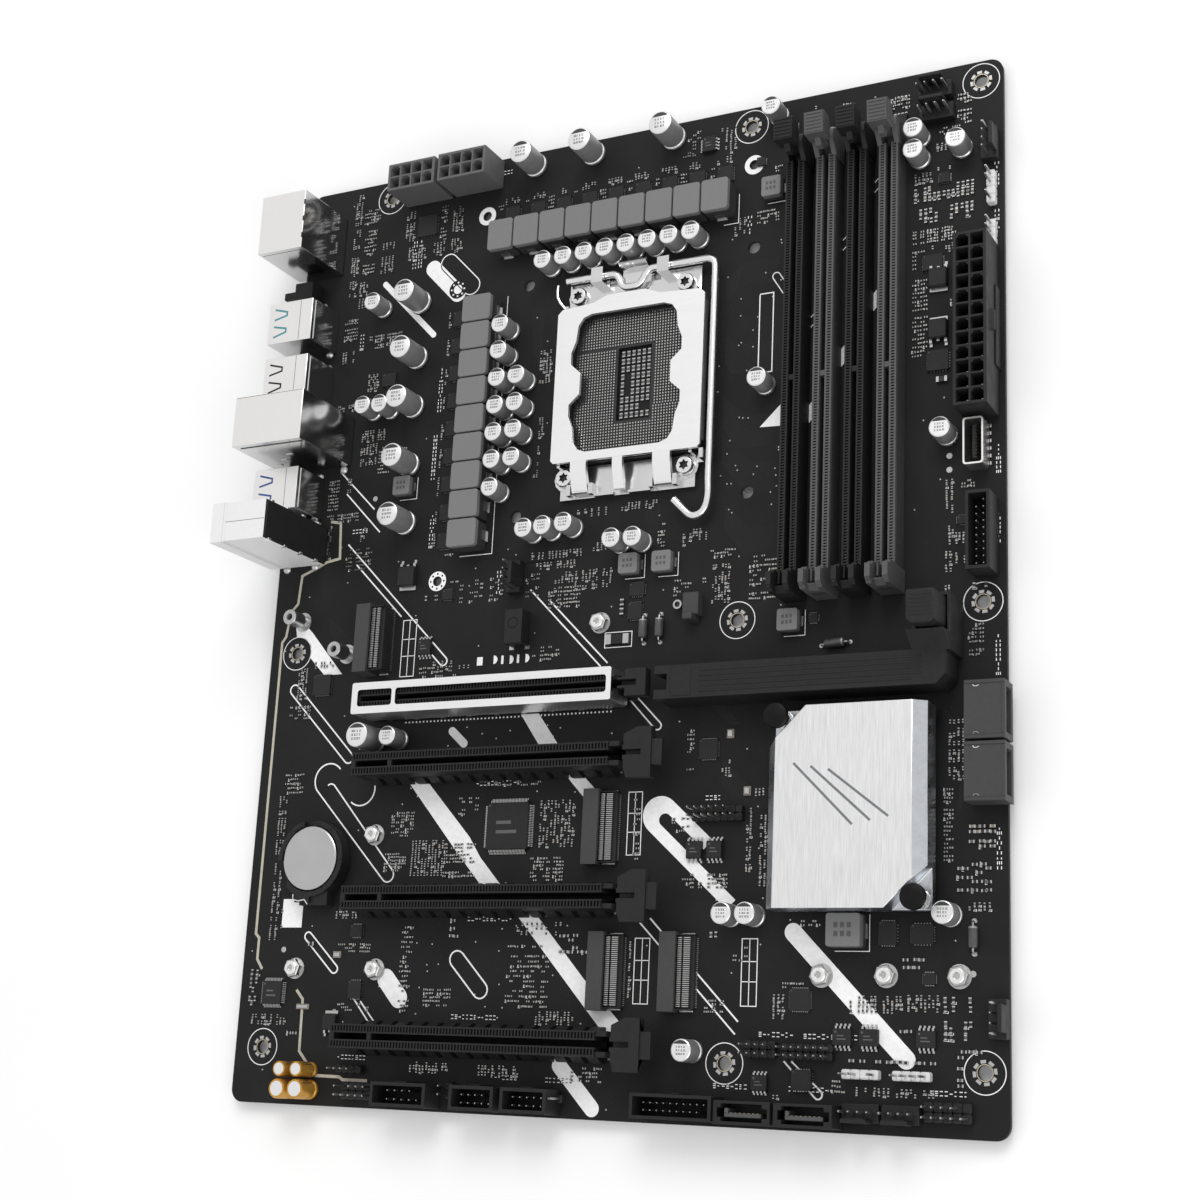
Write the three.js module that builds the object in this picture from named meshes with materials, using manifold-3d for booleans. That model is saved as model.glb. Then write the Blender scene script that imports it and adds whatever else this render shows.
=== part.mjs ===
// A full-size desktop motherboard (ATX outline) lying flat, component side up.
// Millimetres, +Z up. X runs from the rear connector edge (-X) to the front edge (+X),
// Y runs from the expansion-card end (-Y) to the processor-power end (+Y).
// The origin is the middle of the underside, on the plane of the solder lands.
import * as THREE from 'three';
import { mergeVertices } from 'three/addons/utils/BufferGeometryUtils.js';
import Module from 'manifold-3d';

const wasm = await Module();
wasm.setup();

// ---------------------------------------------------------------- driving dimensions
const BOARD = { width: 244, depth: 305, thickness: 1.6, corner: 4 };
const LAND = { radius: 4.4, proud: 0.1 };        // tinned rings under the mounting holes
const SEAT = 0.1;                                // air gap under a part that stands on the board
const TOP = BOARD.thickness + SEAT;              // height at which parts start
const JOINT_DEPTH = 1.9;                         // how far solder joints and backplate hang down
const RUN = 0.35;                                // running clearance round a moving piece

const MOUNT_HOLE = { radius: 1.98, rows: [146.15, -11.33, -135.79] };
const MOUNT_COLUMNS = { rear: -111.84, upperRear: -88.98, middle: 43.1, front: 115.49 };
const COOLER_HOLES = { radius: 2, pitch: 78 };
const HEATSINK_HOLES = { radius: 1.6, at: [[44.3, 133], [-50.6, 132.8], [-60.1, 108.3], [-60.1, 8.8]] };

const SOCKET = { x: 5.9, y: 66.4, width: 43, depth: 50.5, field: 2, rim: 3.4 };
const PLATE = { x: 6.75, width: 50.2, depth: 50.8, low: 4.8, high: 6, skirt: 1.2, drop: 2 };
const HINGE = { y: 32.4, z: 2.9, radius: 1.05 }; // load plate's hinge line, heights above TOP
const LEVER = { y: 102.4, z: 3.6, radius: 1, x: 34.1 };
const SOCKET_SCREWS = [[-13.2, 97.2], [23.8, 96.2], [-14.9, 37.1], [25.7, 36.9]];
const SCREW = { head: 3, headHigh: 1.9, shank: 1.5, hole: 1.9 };

const CHOKE = { pitch: 9.44, size: 8.9, long: 10.4, high: 7, chamfer: 0.8 };
const DIMM = { columns: [61, 70.68, 80.36, 90.04], width: 6.6, high: 8, from: -1, to: 127.5 };
const DIMM_PIVOT = { y: 131.5, z: 4 };
const PCIE = { rear: -79.5, front: 9, width: 7, high: 11.25, rows: [-30.5, -50.82, -91.46, -132.1] };
const PCIE_PIVOT = { x: 15.5, z: 3 };
const Q_PIVOT = { x: 12.6, z: 3 };
const POWER = { pitch: 4.2, wall: 0.6, cavity: 3.4, high: 12.8, deep: 9 };
const COIN = { x: -96.3, y: -78.6, radius: 10, thick: 3.2, lift: 2.2 };
const HEATSINK = { x0: 58.5, x1: 103.5, y0: -95.3, y1: -40.2, ledge: 6.5, high: 13 };
const PUSH_PINS = [[61.4, -43], [100.6, -92.5]];

// ---------------------------------------------------------------- geometry helpers
// Every helper stretches a unit piece to its exact limits in one step, so that faces meant to
// lie in one plane share the same coordinate.
const X = (length = 1) => new THREE.Vector3(length, 0, 0);
const Y = (length = 1) => new THREE.Vector3(0, length, 0);
const Z = (length = 1) => new THREE.Vector3(0, 0, length);

function carry(geometry, basisX, basisY, basisZ, x, y, z) {
  const matrix = new THREE.Matrix4().makeBasis(basisX, basisY, basisZ).setPosition(x, y, z);
  return geometry.applyMatrix4(matrix);
}

function block(x0, x1, y0, y1, z0, z1) {
  const unit = new THREE.BoxGeometry(1, 1, 1).translate(0.5, 0.5, 0.5);
  return carry(unit, X(x1 - x0), Y(y1 - y0), Z(z1 - z0), x0, y0, z0);
}

function shapeOf(points) {
  return new THREE.Shape(points.map(([x, y]) => new THREE.Vector2(x, y)));
}

function unitPrism(shape, curveSegments = 6) {
  return new THREE.ExtrudeGeometry(shape, { depth: 1, bevelEnabled: false, curveSegments });
}

// An outline drawn in the (x, y) plane, extruded upwards.
function flat(shape, z0, z1) {
  return carry(unitPrism(shape), X(), Y(), Z(z1 - z0), 0, 0, z0);
}

// An outline drawn in the (y, z) plane, extruded along X.
function sideways(points, x0, x1) {
  return carry(unitPrism(shapeOf(points)), Y(), Z(), X(x1 - x0), x0, 0, 0);
}

// An outline drawn in the (x, z) plane, extruded along Y.
function lengthways(points, y0, y1) {
  return carry(unitPrism(shapeOf(points)), X(), Z(), Y(y0 - y1), 0, y1, 0);
}

function unitRod(radius, sides) {
  return new THREE.CylinderGeometry(radius, radius, 1, sides).translate(0, 0.5, 0);
}

function disc(radius, z0, z1, x = 0, y = 0, sides = 16) {
  return carry(unitRod(radius, sides), X(), Z(z1 - z0), Y(-1), x, y, z0);
}

function rodX(radius, x0, x1, y, z, sides = 8) {
  return carry(unitRod(radius, sides), Y(-1), X(x1 - x0), Z(), x0, y, z);
}

function rodY(radius, y0, y1, x, z, sides = 8) {
  return carry(unitRod(radius, sides), X(), Y(y1 - y0), Z(), x, y0, z);
}

function roundedRect(width, depth, radius, x = 0, y = 0) {
  const [w, d, r] = [width / 2, depth / 2, radius];
  const shape = new THREE.Shape();
  shape.absarc(x + w - r, y - d + r, r, -Math.PI / 2, 0);
  shape.absarc(x + w - r, y + d - r, r, 0, Math.PI / 2);
  shape.absarc(x - w + r, y + d - r, r, Math.PI / 2, Math.PI);
  shape.absarc(x - w + r, y - d + r, r, Math.PI, Math.PI * 1.5);
  return shape;
}

function toSolid(geometry) {
  const bare = geometry.clone();
  bare.deleteAttribute('normal');
  bare.deleteAttribute('uv');
  const merged = mergeVertices(bare, 1e-4);
  return new wasm.Manifold(new wasm.Mesh({
    numProp: 3,
    vertProperties: new Float32Array(merged.attributes.position.array),
    triVerts: new Uint32Array(merged.index.array),
  }));
}

function toGeometry(solid) {
  const mesh = solid.getMesh();
  const geometry = new THREE.BufferGeometry();
  geometry.setAttribute('position', new THREE.BufferAttribute(new Float32Array(mesh.vertProperties), 3));
  geometry.setIndex(new THREE.BufferAttribute(new Uint32Array(mesh.triVerts), 1));
  return geometry;
}

// Joins the first list of pieces, cuts the second list away, and returns one geometry.
function build(joined, removed = []) {
  let solid = joined.map(toSolid).reduce((all, piece) => all.add(piece));
  for (const piece of removed) solid = solid.subtract(toSolid(piece));
  return toGeometry(solid);
}

// ---------------------------------------------------------------- materials and assembly
function finish(color, roughness, metalness = 0) {
  return { color, roughness, metalness };
}

const FINISH = {
  solderMask: finish(0x1b1b1d, 0.55),
  blackPlastic: finish(0x17171a, 0.5),
  greyPlastic: finish(0x55555a, 0.5),
  steel: finish(0xd9dadc, 0.25, 1),
  nickel: finish(0xe2e2e2, 0.3, 1),
  ferrite: finish(0x77777a, 0.6),
  aluminium: finish(0xdfe1e4, 0.35, 1),
  white: finish(0xe6e6e4, 0.5),
  cell: finish(0xaeb0b2, 0.35, 1),
};

const motherboard = new THREE.Group();

function place(name, geometry, look, x = 0, y = 0, z = TOP) {
  const mesh = new THREE.Mesh(geometry, new THREE.MeshStandardMaterial(look));
  mesh.name = name;
  mesh.position.set(x, y, z);
  motherboard.add(mesh);
  return mesh;
}

// ---------------------------------------------------------------- the bare board
const mountingHoles = MOUNT_HOLE.rows.flatMap((y, row) => {
  const rear = row === 0 ? MOUNT_COLUMNS.upperRear : MOUNT_COLUMNS.rear;
  return [rear, MOUNT_COLUMNS.middle, MOUNT_COLUMNS.front].map((x) => [x, y]);
});

const coolerHoles = [-1, 1].flatMap((i) => [-1, 1].map((j) => [
  SOCKET.x + (i * COOLER_HOLES.pitch) / 2,
  SOCKET.y + (j * COOLER_HOLES.pitch) / 2,
]));

// Through-hole joints that hang below the board, under the ends of the long connectors.
const solderJoints = [
  ...DIMM.columns.filter((x, i) => i % 2 === 0).flatMap((x) => [[x, 4], [x, 122]]),
  ...PCIE.rows.slice(1).flatMap((y) => [[-76, y], [6, y]]),
  [-113, 131], [-113, 60], [-113, 24], [115.6, 88], [115.6, 45], [-67, 146.6], [116, -59], [50, -149],
];

function boardGeometry() {
  const { width, depth, thickness, corner } = BOARD;
  const hole = (radius, sides) => ([x, y]) => disc(radius, -5, 5, x, y, sides);
  const laminate = flat(roundedRect(width, depth, corner), LAND.proud, thickness);
  const lands = [...mountingHoles, [0, 0]].map(([x, y]) => disc(LAND.radius, 0, 0.3, x, y, 10));
  const joints = solderJoints.map(([x, y]) => {
    const cone = new THREE.CylinderGeometry(1.3, 0.5, 1, 6).translate(0, 0.5, 0);
    return carry(cone, X(), Z(JOINT_DEPTH + 0.4), Y(-1), x, y, -JOINT_DEPTH);
  });
  return build([laminate, ...lands, ...joints], [
    ...mountingHoles.map(hole(MOUNT_HOLE.radius, 16)),
    ...coolerHoles.map(hole(COOLER_HOLES.radius, 12)),
    ...HEATSINK_HOLES.at.map(hole(HEATSINK_HOLES.radius, 12)),
    ...SOCKET_SCREWS.map(hole(SCREW.hole, 10)),
  ]);
}

place('pcb', boardGeometry(), FINISH.solderMask, 0, 0, 0);

// ---------------------------------------------------------------- processor socket
function socketGeometry() {
  const [w, d] = [SOCKET.width / 2, SOCKET.depth / 2];
  return build([block(-w, w, -d, d, 0, SOCKET.rim)], [
    block(-w + 2.2, w - 2.2, -d + 2.2, d - 2.2, SOCKET.field, SOCKET.rim + 1),
    block(-4.4, 7, -12.4, 11.4, 0.5, SOCKET.rim),
    block(-w - 1, -w + 3, 12, 15, SOCKET.field + 0.6, SOCKET.rim + 1),
    block(w - 3, w + 1, -15, -12, SOCKET.field + 0.6, SOCKET.rim + 1),
  ]);
}

// The tabs are where the load plate swings about the frame's lower bar.
const TABS = [{ x: -8.7, width: 5.4 }, { x: 19.3, width: 5.8 }];

function socketFrameGeometry() {
  const [x0, x1] = [-16.8, 28.6];
  const wall = 1;
  const ears = SOCKET_SCREWS.map(([x, y]) => disc(4, 0, 1.5, x, y, 12));
  const lugs = TABS.flatMap(({ x, width }) => {
    const side = width / 2 + RUN;
    return [block(x - side - 1.4, x - side, 30.8, 34.2, 0, 4.3), block(x + side, x + side + 1.4, 30.8, 34.2, 0, 4.3)];
  });
  const clips = [-5.5, 17.3].map((x) => block(x - 2, x + 2, 99.6, 104.6, 0, 5.9));
  const crossbars = [block(x0, x1, 92.2, 101.6, 0, 1.5), block(x0, x1, 30.4, 40.6, 0, 1.2)];
  const rails = [block(x0, x0 + wall, 40.2, 93.6, 0, 4.4), block(x1 - wall, x1, 40.2, 93.6, 0, 4.4)];
  const lip = [block(-4.5, 2.2, 30.4, 31.2, 0, 2.6), block(7.1, 14.5, 30.4, 31.2, 0, 2.6)];
  // The raised tongue between the clips, leaning back over the lever's crank.
  const tongue = sideways([[104, 0], [105, 0], [106, 4.4], [105.2, 5.2], [104, 3.2]], 1.4, 10.8);
  const tongueFoot = block(1.4, 10.8, 100.8, 104.6, 0, 1.2);
  // Side hook for the lever: it reaches up beside the arm and stops short of it.
  const hook = lengthways([[29, 0], [32.7, 0], [32.7, 5.4], [31.4, 5.4], [31.4, 1.3], [29, 1.3]], 37.8, 40.8);
  return build([...crossbars, ...rails, ...ears, ...lugs, ...clips, ...lip, tongue, tongueFoot, hook], [
    rodX(LEVER.radius + RUN, x0 - 4, x1 + 4, LEVER.y, LEVER.z, 10),
    ...SOCKET_SCREWS.map(([x, y]) => disc(SCREW.hole, -1, 9, x, y, 12)),
    block(-3, 14.8, 99, 101.8, 1.2, 3),
  ]);
}

// Half of the window's edge, from the middle of the top edge round to the middle of the bottom
// edge; the other half mirrors it. The step inwards half way down is the pressing tab.
const WINDOW_HALF = [
  [12.4, 22.6], [15.2, 21.6], [16.8, 19.2], [17.4, 14.2], [18.9, 10.4], [18.9, 6.6], [15.4, 3.4],
  [15.4, -3.4], [18.9, -6.6], [18.9, -10.4], [17.4, -14.2], [16.8, -19.2], [15.2, -21.6], [12.4, -22.6],
];

function loadPlateGeometry() {
  const { width, depth, low, high, skirt, drop } = PLATE;
  const w = width / 2;
  const [y0, y1] = [SOCKET.y - depth / 2, SOCKET.y + depth / 2];
  const outline = [
    [-w, y0 + 1], [-w + 1, y0], [w - 1, y0], [w, y0 + 1], [w, y1 - 1.5], [w - 1.5, y1],
    [10, y1 + 0.8], [5, y1 + 2.8], [-8, y1 + 2.8], [-13, y1 + 0.8], [-w + 1.5, y1], [-w, y1 - 1.5],
  ];
  const shift = SOCKET.x - PLATE.x;
  const right = WINDOW_HALF.map(([x, y]) => [x + shift, y + SOCKET.y]);
  const left = WINDOW_HALF.map(([x, y]) => [-x + shift, y + SOCKET.y]).reverse();
  const face = shapeOf(outline);
  face.holes.push(shapeOf([...right, ...left]));
  const skirts = [-1, 1].map((side) => {
    const [a, b] = side < 0 ? [-w, -w + skirt] : [w - skirt, w];
    return block(a, b, y0 + 3, y1 - 3, low - drop, high - 0.2);
  });
  const strap = (high_, x0, x1, tip) => sideways([
    [y0 + 1, high], [y0 - 3, high - 0.2], [y0 - 7.6, high_ + 0.6], [tip, high_], [tip, high_ - 1.1],
    [y0 - 6.8, high_ - 1], [y0 - 2.4, low - 0.2], [y0 + 1, low],
  ], x0, x1);
  const tabs = TABS.flatMap(({ x, width: tabWidth }) => {
    const [x0, x1] = [x - PLATE.x - tabWidth / 2, x - PLATE.x + tabWidth / 2];
    return [strap(HINGE.z + 1, x0, x1, HINGE.y - 0.4), rodX(HINGE.radius, x0, x1, HINGE.y, HINGE.z)];
  });
  const tongue = strap(HINGE.z + 1, -3.8, -0.4, HINGE.y - 1);
  return build([flat(face, low, high), ...skirts, ...tabs, tongue]);
}

function leverGeometry() {
  const { x: armX, y, radius } = LEVER;
  const point = (px, py) => new THREE.Vector3(px, py, 0);
  const path = new THREE.CurvePath();
  const line = (a, b) => path.add(new THREE.LineCurve3(point(...a), point(...b)));
  const bend = (a, corner, b) => path.add(new THREE.QuadraticBezierCurve3(point(...a), point(...corner), point(...b)));
  line([-17, y], [-1.4, y]);
  bend([-1.4, y], [0.6, y], [1.6, y - 2.4]);          // down into the crank that presses the plate
  bend([1.6, y - 2.4], [2.6, y - 5.2], [4.6, y - 5.2]);
  line([4.6, y - 5.2], [7, y - 5.2]);
  bend([7, y - 5.2], [9, y - 5.2], [10.2, y - 2.4]);
  bend([10.2, y - 2.4], [11.4, y], [13.4, y]);
  line([13.4, y], [armX - 3.4, y]);
  bend([armX - 3.4, y], [armX, y], [armX, y - 3.4]);  // round the corner and along the arm
  line([armX, y - 3.4], [armX, 31]);
  bend([armX, 31], [armX + 0.8, 20.6], [29.6, 20.4]); // the hooked finger grip
  line([29.6, 20.4], [23.2, 26]);
  const section = new THREE.Shape().absarc(0, 0, radius, 0, Math.PI * 2);
  const settings = { extrudePath: path, steps: 78, curveSegments: 4, bevelEnabled: false };
  return new THREE.ExtrudeGeometry(section, settings);
}

function screwGeometry() {
  const { head, headHigh, shank } = SCREW;
  const below = -(BOARD.thickness + SEAT + 1.5 + 0.9);
  return build([disc(head, SEAT, headHigh, 0, 0, 14), disc(shank, below, SEAT + 0.2, 0, 0, 8)], [
    disc(1.5, headHigh - 1.2, headHigh + 1, 0, 0, 6),
  ]);
}

function backplateGeometry() {
  const shape = roundedRect(47, 68, 5, 5.4, 66.6);
  const plate = flat(shape, -JOINT_DEPTH, -SEAT);
  const boss = SOCKET_SCREWS.map(([x, y]) => disc(4.6, -JOINT_DEPTH, -SEAT, x, y, 12));
  const window_ = block(SOCKET.x - 13, SOCKET.x + 13, SOCKET.y - 14, SOCKET.y + 14, -5, 1);
  const holes = SOCKET_SCREWS.map(([x, y]) => disc(SCREW.hole, -5, 1, x, y, 10));
  return build([plate, ...boss], [window_, ...holes]);
}

place('cpu_socket', socketGeometry(), FINISH.blackPlastic, SOCKET.x, SOCKET.y);
place('socket_frame', socketFrameGeometry(), FINISH.steel);
place('load_plate', loadPlateGeometry(), FINISH.steel, PLATE.x);
place('load_lever', leverGeometry(), FINISH.nickel, 0, 0, TOP + LEVER.z);
place('socket_backplate', backplateGeometry(), FINISH.blackPlastic, 0, 0, 0);
SOCKET_SCREWS.forEach(([x, y], i) => {
  place(`socket_screw_${i + 1}`, screwGeometry(), FINISH.nickel, x, y, TOP + 1.5);
});

// ---------------------------------------------------------------- processor power chokes
function chokeRowGeometry(count, alongX) {
  const { pitch, size, long, high, chamfer: c } = CHOKE;
  const [w, d] = alongX ? [size / 2, long / 2] : [long / 2, size / 2];
  const corners = [
    [-w + c, -d], [w - c, -d], [w, -d + c], [w, d - c], [w - c, d], [-w + c, d], [-w, d - c], [-w, -d + c],
  ];
  const cores = Array.from({ length: count }, (unused, i) => {
    const at = (i - (count - 1) / 2) * pitch;
    return flat(shapeOf(corners), 0, high).translate(alongX ? at : 0, alongX ? 0 : at, 0);
  });
  const span = (count * pitch) / 2 - 1;
  const strip = alongX ? block(-span, span, -3, 3, 0, 0.6) : block(-3, 3, -span, span, 0, 0.6);
  return build([...cores, strip]);
}

place('vrm_chokes_top', chokeRowGeometry(9, true), FINISH.ferrite, -3.5, 121.8);
place('vrm_chokes_rear', chokeRowGeometry(9, false), FINISH.ferrite, -48.3, 59.6);

// ---------------------------------------------------------------- memory slots
function dimmSlotGeometry() {
  const { width, high, from, to } = DIMM;
  const w = width / 2;
  const cheek = [[to - 1, 0], [134.6, 0], [134.6, 10], [133.4, 11], [131, 11.6], [to - 1, high]];
  const tower = block(-w, w, from - 6.4, from + 0.2, 0, 15);
  return build([
    block(-w, w, from, to, 0, high),
    block(-w, w, to - 0.5, 134.6, 0, 1),
    sideways(cheek, -w, -w + 1.4),
    sideways(cheek, w - 1.4, w),
    tower,
  ], [
    block(-0.8, 0.8, from - 4.6, 57.6, 2.4, 20),
    block(-0.8, 0.8, 59.2, to + 1, 2.4, 20),
    block(-1.7, 1.7, from - 3.2, from + 1, high, 20),
    rodX(1 + RUN, -w - 1, w + 1, DIMM_PIVOT.y, DIMM_PIVOT.z, 8),
  ]);
}

function dimmLatchGeometry() {
  const { y, z } = DIMM_PIVOT;
  // Side view: ejector foot at the bottom, stem, and the thumb pad that leans outwards.
  const stem = [
    [y - 3.2, 2.4], [y - 3, 3.6], [y - 1.4, 5], [y - 1.6, 13.2], [y + 2.4, 13.2],
    [y + 2, 5], [y + 1.4, 2.6],
  ];
  const pad = [[y - 2.3, 13], [y - 2.3, 18.4], [y + 4.4, 19], [y + 5.2, 17.6], [y + 4.8, 13.8], [y + 2.2, 12.6]];
  const hook = [[y - 4.4, 12], [y - 4.2, 14], [y - 1.4, 16], [y - 1.4, 11]];
  return build([
    sideways(stem, -1.5, 1.5),
    sideways(pad, -2.9, 2.9),
    sideways(hook, -0.9, 0.9),
    rodX(1, -2.7, 2.7, y, z, 8),
  ]);
}

DIMM.columns.forEach((x, i) => {
  const look = i % 2 === 0 ? FINISH.blackPlastic : FINISH.greyPlastic;
  place(`dimm_slot_${i + 1}`, dimmSlotGeometry(), look, x);
  place(`dimm_latch_${i + 1}`, dimmLatchGeometry(), look, x);
});

// ---------------------------------------------------------------- expansion slots
const KEY_X = PCIE.rear + 13.2;

function pcieSlotGeometry(width, forkEnd, forkWidth) {
  const { rear, front, high } = PCIE;
  const w = width / 2;
  const fork = forkWidth / 2;
  return build([
    block(rear, front, -w, w, 0, high),
    block(front - 1, forkEnd, -fork, -fork + 1.4, 0, high - 0.6),
    block(front - 1, forkEnd, fork - 1.4, fork, 0, high - 0.6),
    block(front - 1, forkEnd, -fork, fork, 0, 0.8),
  ], [
    block(rear + 1.6, KEY_X, -0.95, 0.95, 3, 20),
    block(KEY_X + 1.4, front + 1, -0.95, 0.95, 3, 20),
  ]);
}

// The steel jacket round the first slot, open along the groove and round its ends.
function slotShieldGeometry() {
  const [x0, x1, half, high] = [PCIE.rear - 0.9, PCIE.front + 0.4, 4.9, 12.4];
  return build([block(x0, x1, -half, half, 1.2, high)], [
    block(x0 + 0.6, x1 + 1, -half + 1, half - 1, 0, high - 0.8),
    block(PCIE.rear + 0.8, x1 - 1.4, -2, 2, 0, high + 1),
  ]);
}

// The card latch: a foot that turns on its pin, and wide ears at the top.
function pcieLatchGeometry() {
  const { x, z } = PCIE_PIVOT;
  const foot = [[x - 1.9, 1.6], [x + 1.6, 1.6], [x + 2, 6.8], [22.4, 8.2], [22.4, 11.4], [x - 1.9, 11.4]];
  const ears = shapeOf([
    [x - 1.6, -4.2], [x - 0.6, -7.3], [22.6, -7.3], [22.6, 7.3], [x + 2.6, 7.3], [x - 1.6, 5.2],
  ]);
  const spur = lengthways([[22.2, 8.6], [25.6, 8.8], [25.6, 10.4], [22.2, 10.8]], -3.7, 3.7);
  return build([
    lengthways(foot, -2, 2),
    flat(ears, 8.6, 11.4),
    spur,
    rodY(1, -4.2, 4.2, x, z, 8),
  ], [block(x - 3, 19.4, -0.8, 0.8, 8.9, 12)]);
}

PCIE.rows.forEach((y, i) => {
  const first = i === 0;
  const geometry = pcieSlotGeometry(PCIE.width, first ? 10.4 : 12.8, first ? 5.6 : 7);
  place(`pcie_slot_${i + 1}`, geometry, FINISH.blackPlastic, 0, y);
  if (!first) place(`pcie_latch_${i + 1}`, pcieLatchGeometry(), FINISH.blackPlastic, 0, y);
});
place('pcie_slot_1_shield', slotShieldGeometry(), FINISH.steel, 0, PCIE.rows[0]);

// The first slot's latch is worked from a button by the memory slots, through a covered rod.
function quickLatchGeometry() {
  const { x, z } = Q_PIVOT;
  const side = [[x - 1.4, 1.6], [x + 1.6, 1.6], [x + 2.4, 7], [20.2, 8.4], [20.2, 11.8], [x - 1.4, 11.8]];
  return build([
    lengthways(side, -1.6, 1.6),
    lengthways([[x, 8.4], [20.2, 8.4], [20.2, 11.8], [x + 1, 11.8]], -4, 4),
    rodY(1, -3.6, 3.6, x, z, 8),
  ], [block(x - 3, 17.2, -0.9, 0.9, 9, 13)]);
}

const Q_COVER = { x0: 23, x1: 108.6, y0: -36.1, y1: -26.4, high: 12 };
const Q_HOUSING = { x0: 99.4, x1: 110, y1: -11 };
const Q_BUTTON = { x0: 100.7, x1: 108.7, y0: -21.8, y1: -12.4, low: 9, high: 22 };

function quickCoverGeometry() {
  const { x0, x1, y0, y1, high } = Q_COVER;
  const bar = flat(shapeOf([[x0, y0], [x1 - 2.6, y0], [x1, y0 + 2.8], [x1, y1], [x0, y1]]), 0, high);
  const housing = block(Q_HOUSING.x0, Q_HOUSING.x1, y1 - 0.6, Q_HOUSING.y1, 0, high);
  const apron = [[y1 - 0.6, high - 0.2], [Q_BUTTON.y0 - 0.6, high - 0.2], [Q_BUTTON.y0 - 0.6, 18]];
  const pocket = block(
    Q_BUTTON.x0 - RUN, Q_BUTTON.x1 + RUN, Q_BUTTON.y0 - RUN, Q_BUTTON.y1 + RUN, 5.4, high + 9,
  );
  return build([bar, housing, sideways(apron, Q_HOUSING.x0, Q_HOUSING.x1)], [
    pocket,
    block(x0 - 1, x0 + 4, -33.4, -28.8, 3, high + 1),
  ]);
}

function quickButtonGeometry() {
  const { x0, x1, y0, y1, low, high } = Q_BUTTON;
  const c = 1.4;
  const cap = [[x0 + c, y0], [x1 - c, y0], [x1, y0 + c], [x1, y1], [x0, y1], [x0, y0 + c]];
  return flat(shapeOf(cap), low, high);
}

place('pcie_latch_1', quickLatchGeometry(), FINISH.blackPlastic, 0, PCIE.rows[0]);
place('q_release_cover', quickCoverGeometry(), FINISH.blackPlastic);
place('q_release_button', quickButtonGeometry(), FINISH.blackPlastic);

// ---------------------------------------------------------------- solid-state drive sockets
function driveSocketGeometry(high, tail) {
  const half = 11;
  return build([block(0, 5, -half, half, 0, high), block(4.6, 5 + tail, -half + 0.6, half - 0.6, 0, high - 1.4)], [
    block(3.2, 6 + tail, -half + 1, half - 1, high - 2.8, high - 1.2),
  ]);
}

const DRIVE_SOCKETS = [[-84.4, -9.8, 8, 4.2], [-2.2, -70.6, 4, 5], [1.5, -111.6, 4, 5], [23.9, -111.6, 4, 5]];
DRIVE_SOCKETS.forEach(([x, y, high, tail], i) => {
  place(`m2_socket_${i + 1}`, driveSocketGeometry(high, tail), FINISH.greyPlastic, x, y);
});

// ---------------------------------------------------------------- power connectors
function powerConnectorGeometry(columns, rows, latchSide) {
  const { pitch, wall, cavity, high, deep } = POWER;
  const [w, d] = [(columns * pitch) / 2 + wall, (rows * pitch) / 2 + wall];
  const cavities = [];
  for (let i = 0; i < columns; i += 1) {
    for (let j = 0; j < rows; j += 1) {
      const x = (i - (columns - 1) / 2) * pitch;
      const y = (j - (rows - 1) / 2) * pitch;
      const half = cavity / 2;
      cavities.push(block(x - half, x + half, y - half, y + half, high - deep, high + 1));
    }
  }
  const ramp = latchSide === 'x'
    ? lengthways([[w - 0.2, 6.6], [w + 1, 7.4], [w + 1, 8.4], [w - 0.2, 10.4]], -3, 3)
    : sideways([[d - 0.2, 6.6], [d + 1, 7.4], [d + 1, 8.4], [d - 0.2, 10.4]], -3, 3);
  return build([block(-w, w, -d, d, 0, high), ramp], cavities);
}

place('atx_power_connector', powerConnectorGeometry(2, 12, 'x'), FINISH.blackPlastic, 115.6, 67);
place('cpu_power_connector_1', powerConnectorGeometry(4, 2, 'y'), FINISH.greyPlastic, -73.5, 146.5);
place('cpu_power_connector_2', powerConnectorGeometry(4, 2, 'y'), FINISH.greyPlastic, -54.2, 146.7);

// ---------------------------------------------------------------- shrouded headers
function shroudGeometry(width, depth, high, wall, floor) {
  const [w, d] = [width / 2, depth / 2];
  return build([block(-w, w, -d, d, 0, high)], [block(-w + wall, w - wall, -d + wall, d - wall, floor, high + 1)]);
}

place('usb_header_front', shroudGeometry(6.8, 22.2, 8.9, 0.9, 1.4), FINISH.blackPlastic, 116.5, 6.7);
place('usb_header_lower', shroudGeometry(24.2, 6.8, 8.9, 0.9, 1.4), FINISH.blackPlastic, 31.3, -148);
place('usb_c_header', shroudGeometry(5.8, 13.6, 6.4, 0.7, 1), FINISH.nickel, 114.6, 33);

// Upright drive-data port: a shroud round a contact blade.
function sataUprightGeometry() {
  return build([block(-8.2, 8.2, -3.1, 3.1, 0, 8.4)], [
    block(-5.9, 5.9, -2.3, 2.3, 1.4, 10),
    block(-7.4, -5.8, -1.2, 1.2, 1.4, 10),
    block(5.8, 7.4, -1.2, 1.2, 1.4, 10),
  ]);
}

// Sideways drive-data port whose mouth faces the front edge.
function sataSideGeometry() {
  return build([block(-5.6, 5.6, -7.9, 7.9, 0, 8)], [block(-2.4, 6, -6.1, 6.1, 1.6, 6.4)]);
}

place('sata_port_1', sataUprightGeometry(), FINISH.blackPlastic, 51.9, -148.6);
place('sata_port_2', sataUprightGeometry(), FINISH.blackPlastic, 69.2, -148.6);
place('sata_port_3', sataSideGeometry(), FINISH.greyPlastic, 117.9, -59.2);
place('sata_port_4', sataSideGeometry(), FINISH.greyPlastic, 117.9, -42.7);

// ---------------------------------------------------------------- rear connectors
const REAR = -BOARD.width / 2;

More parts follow.
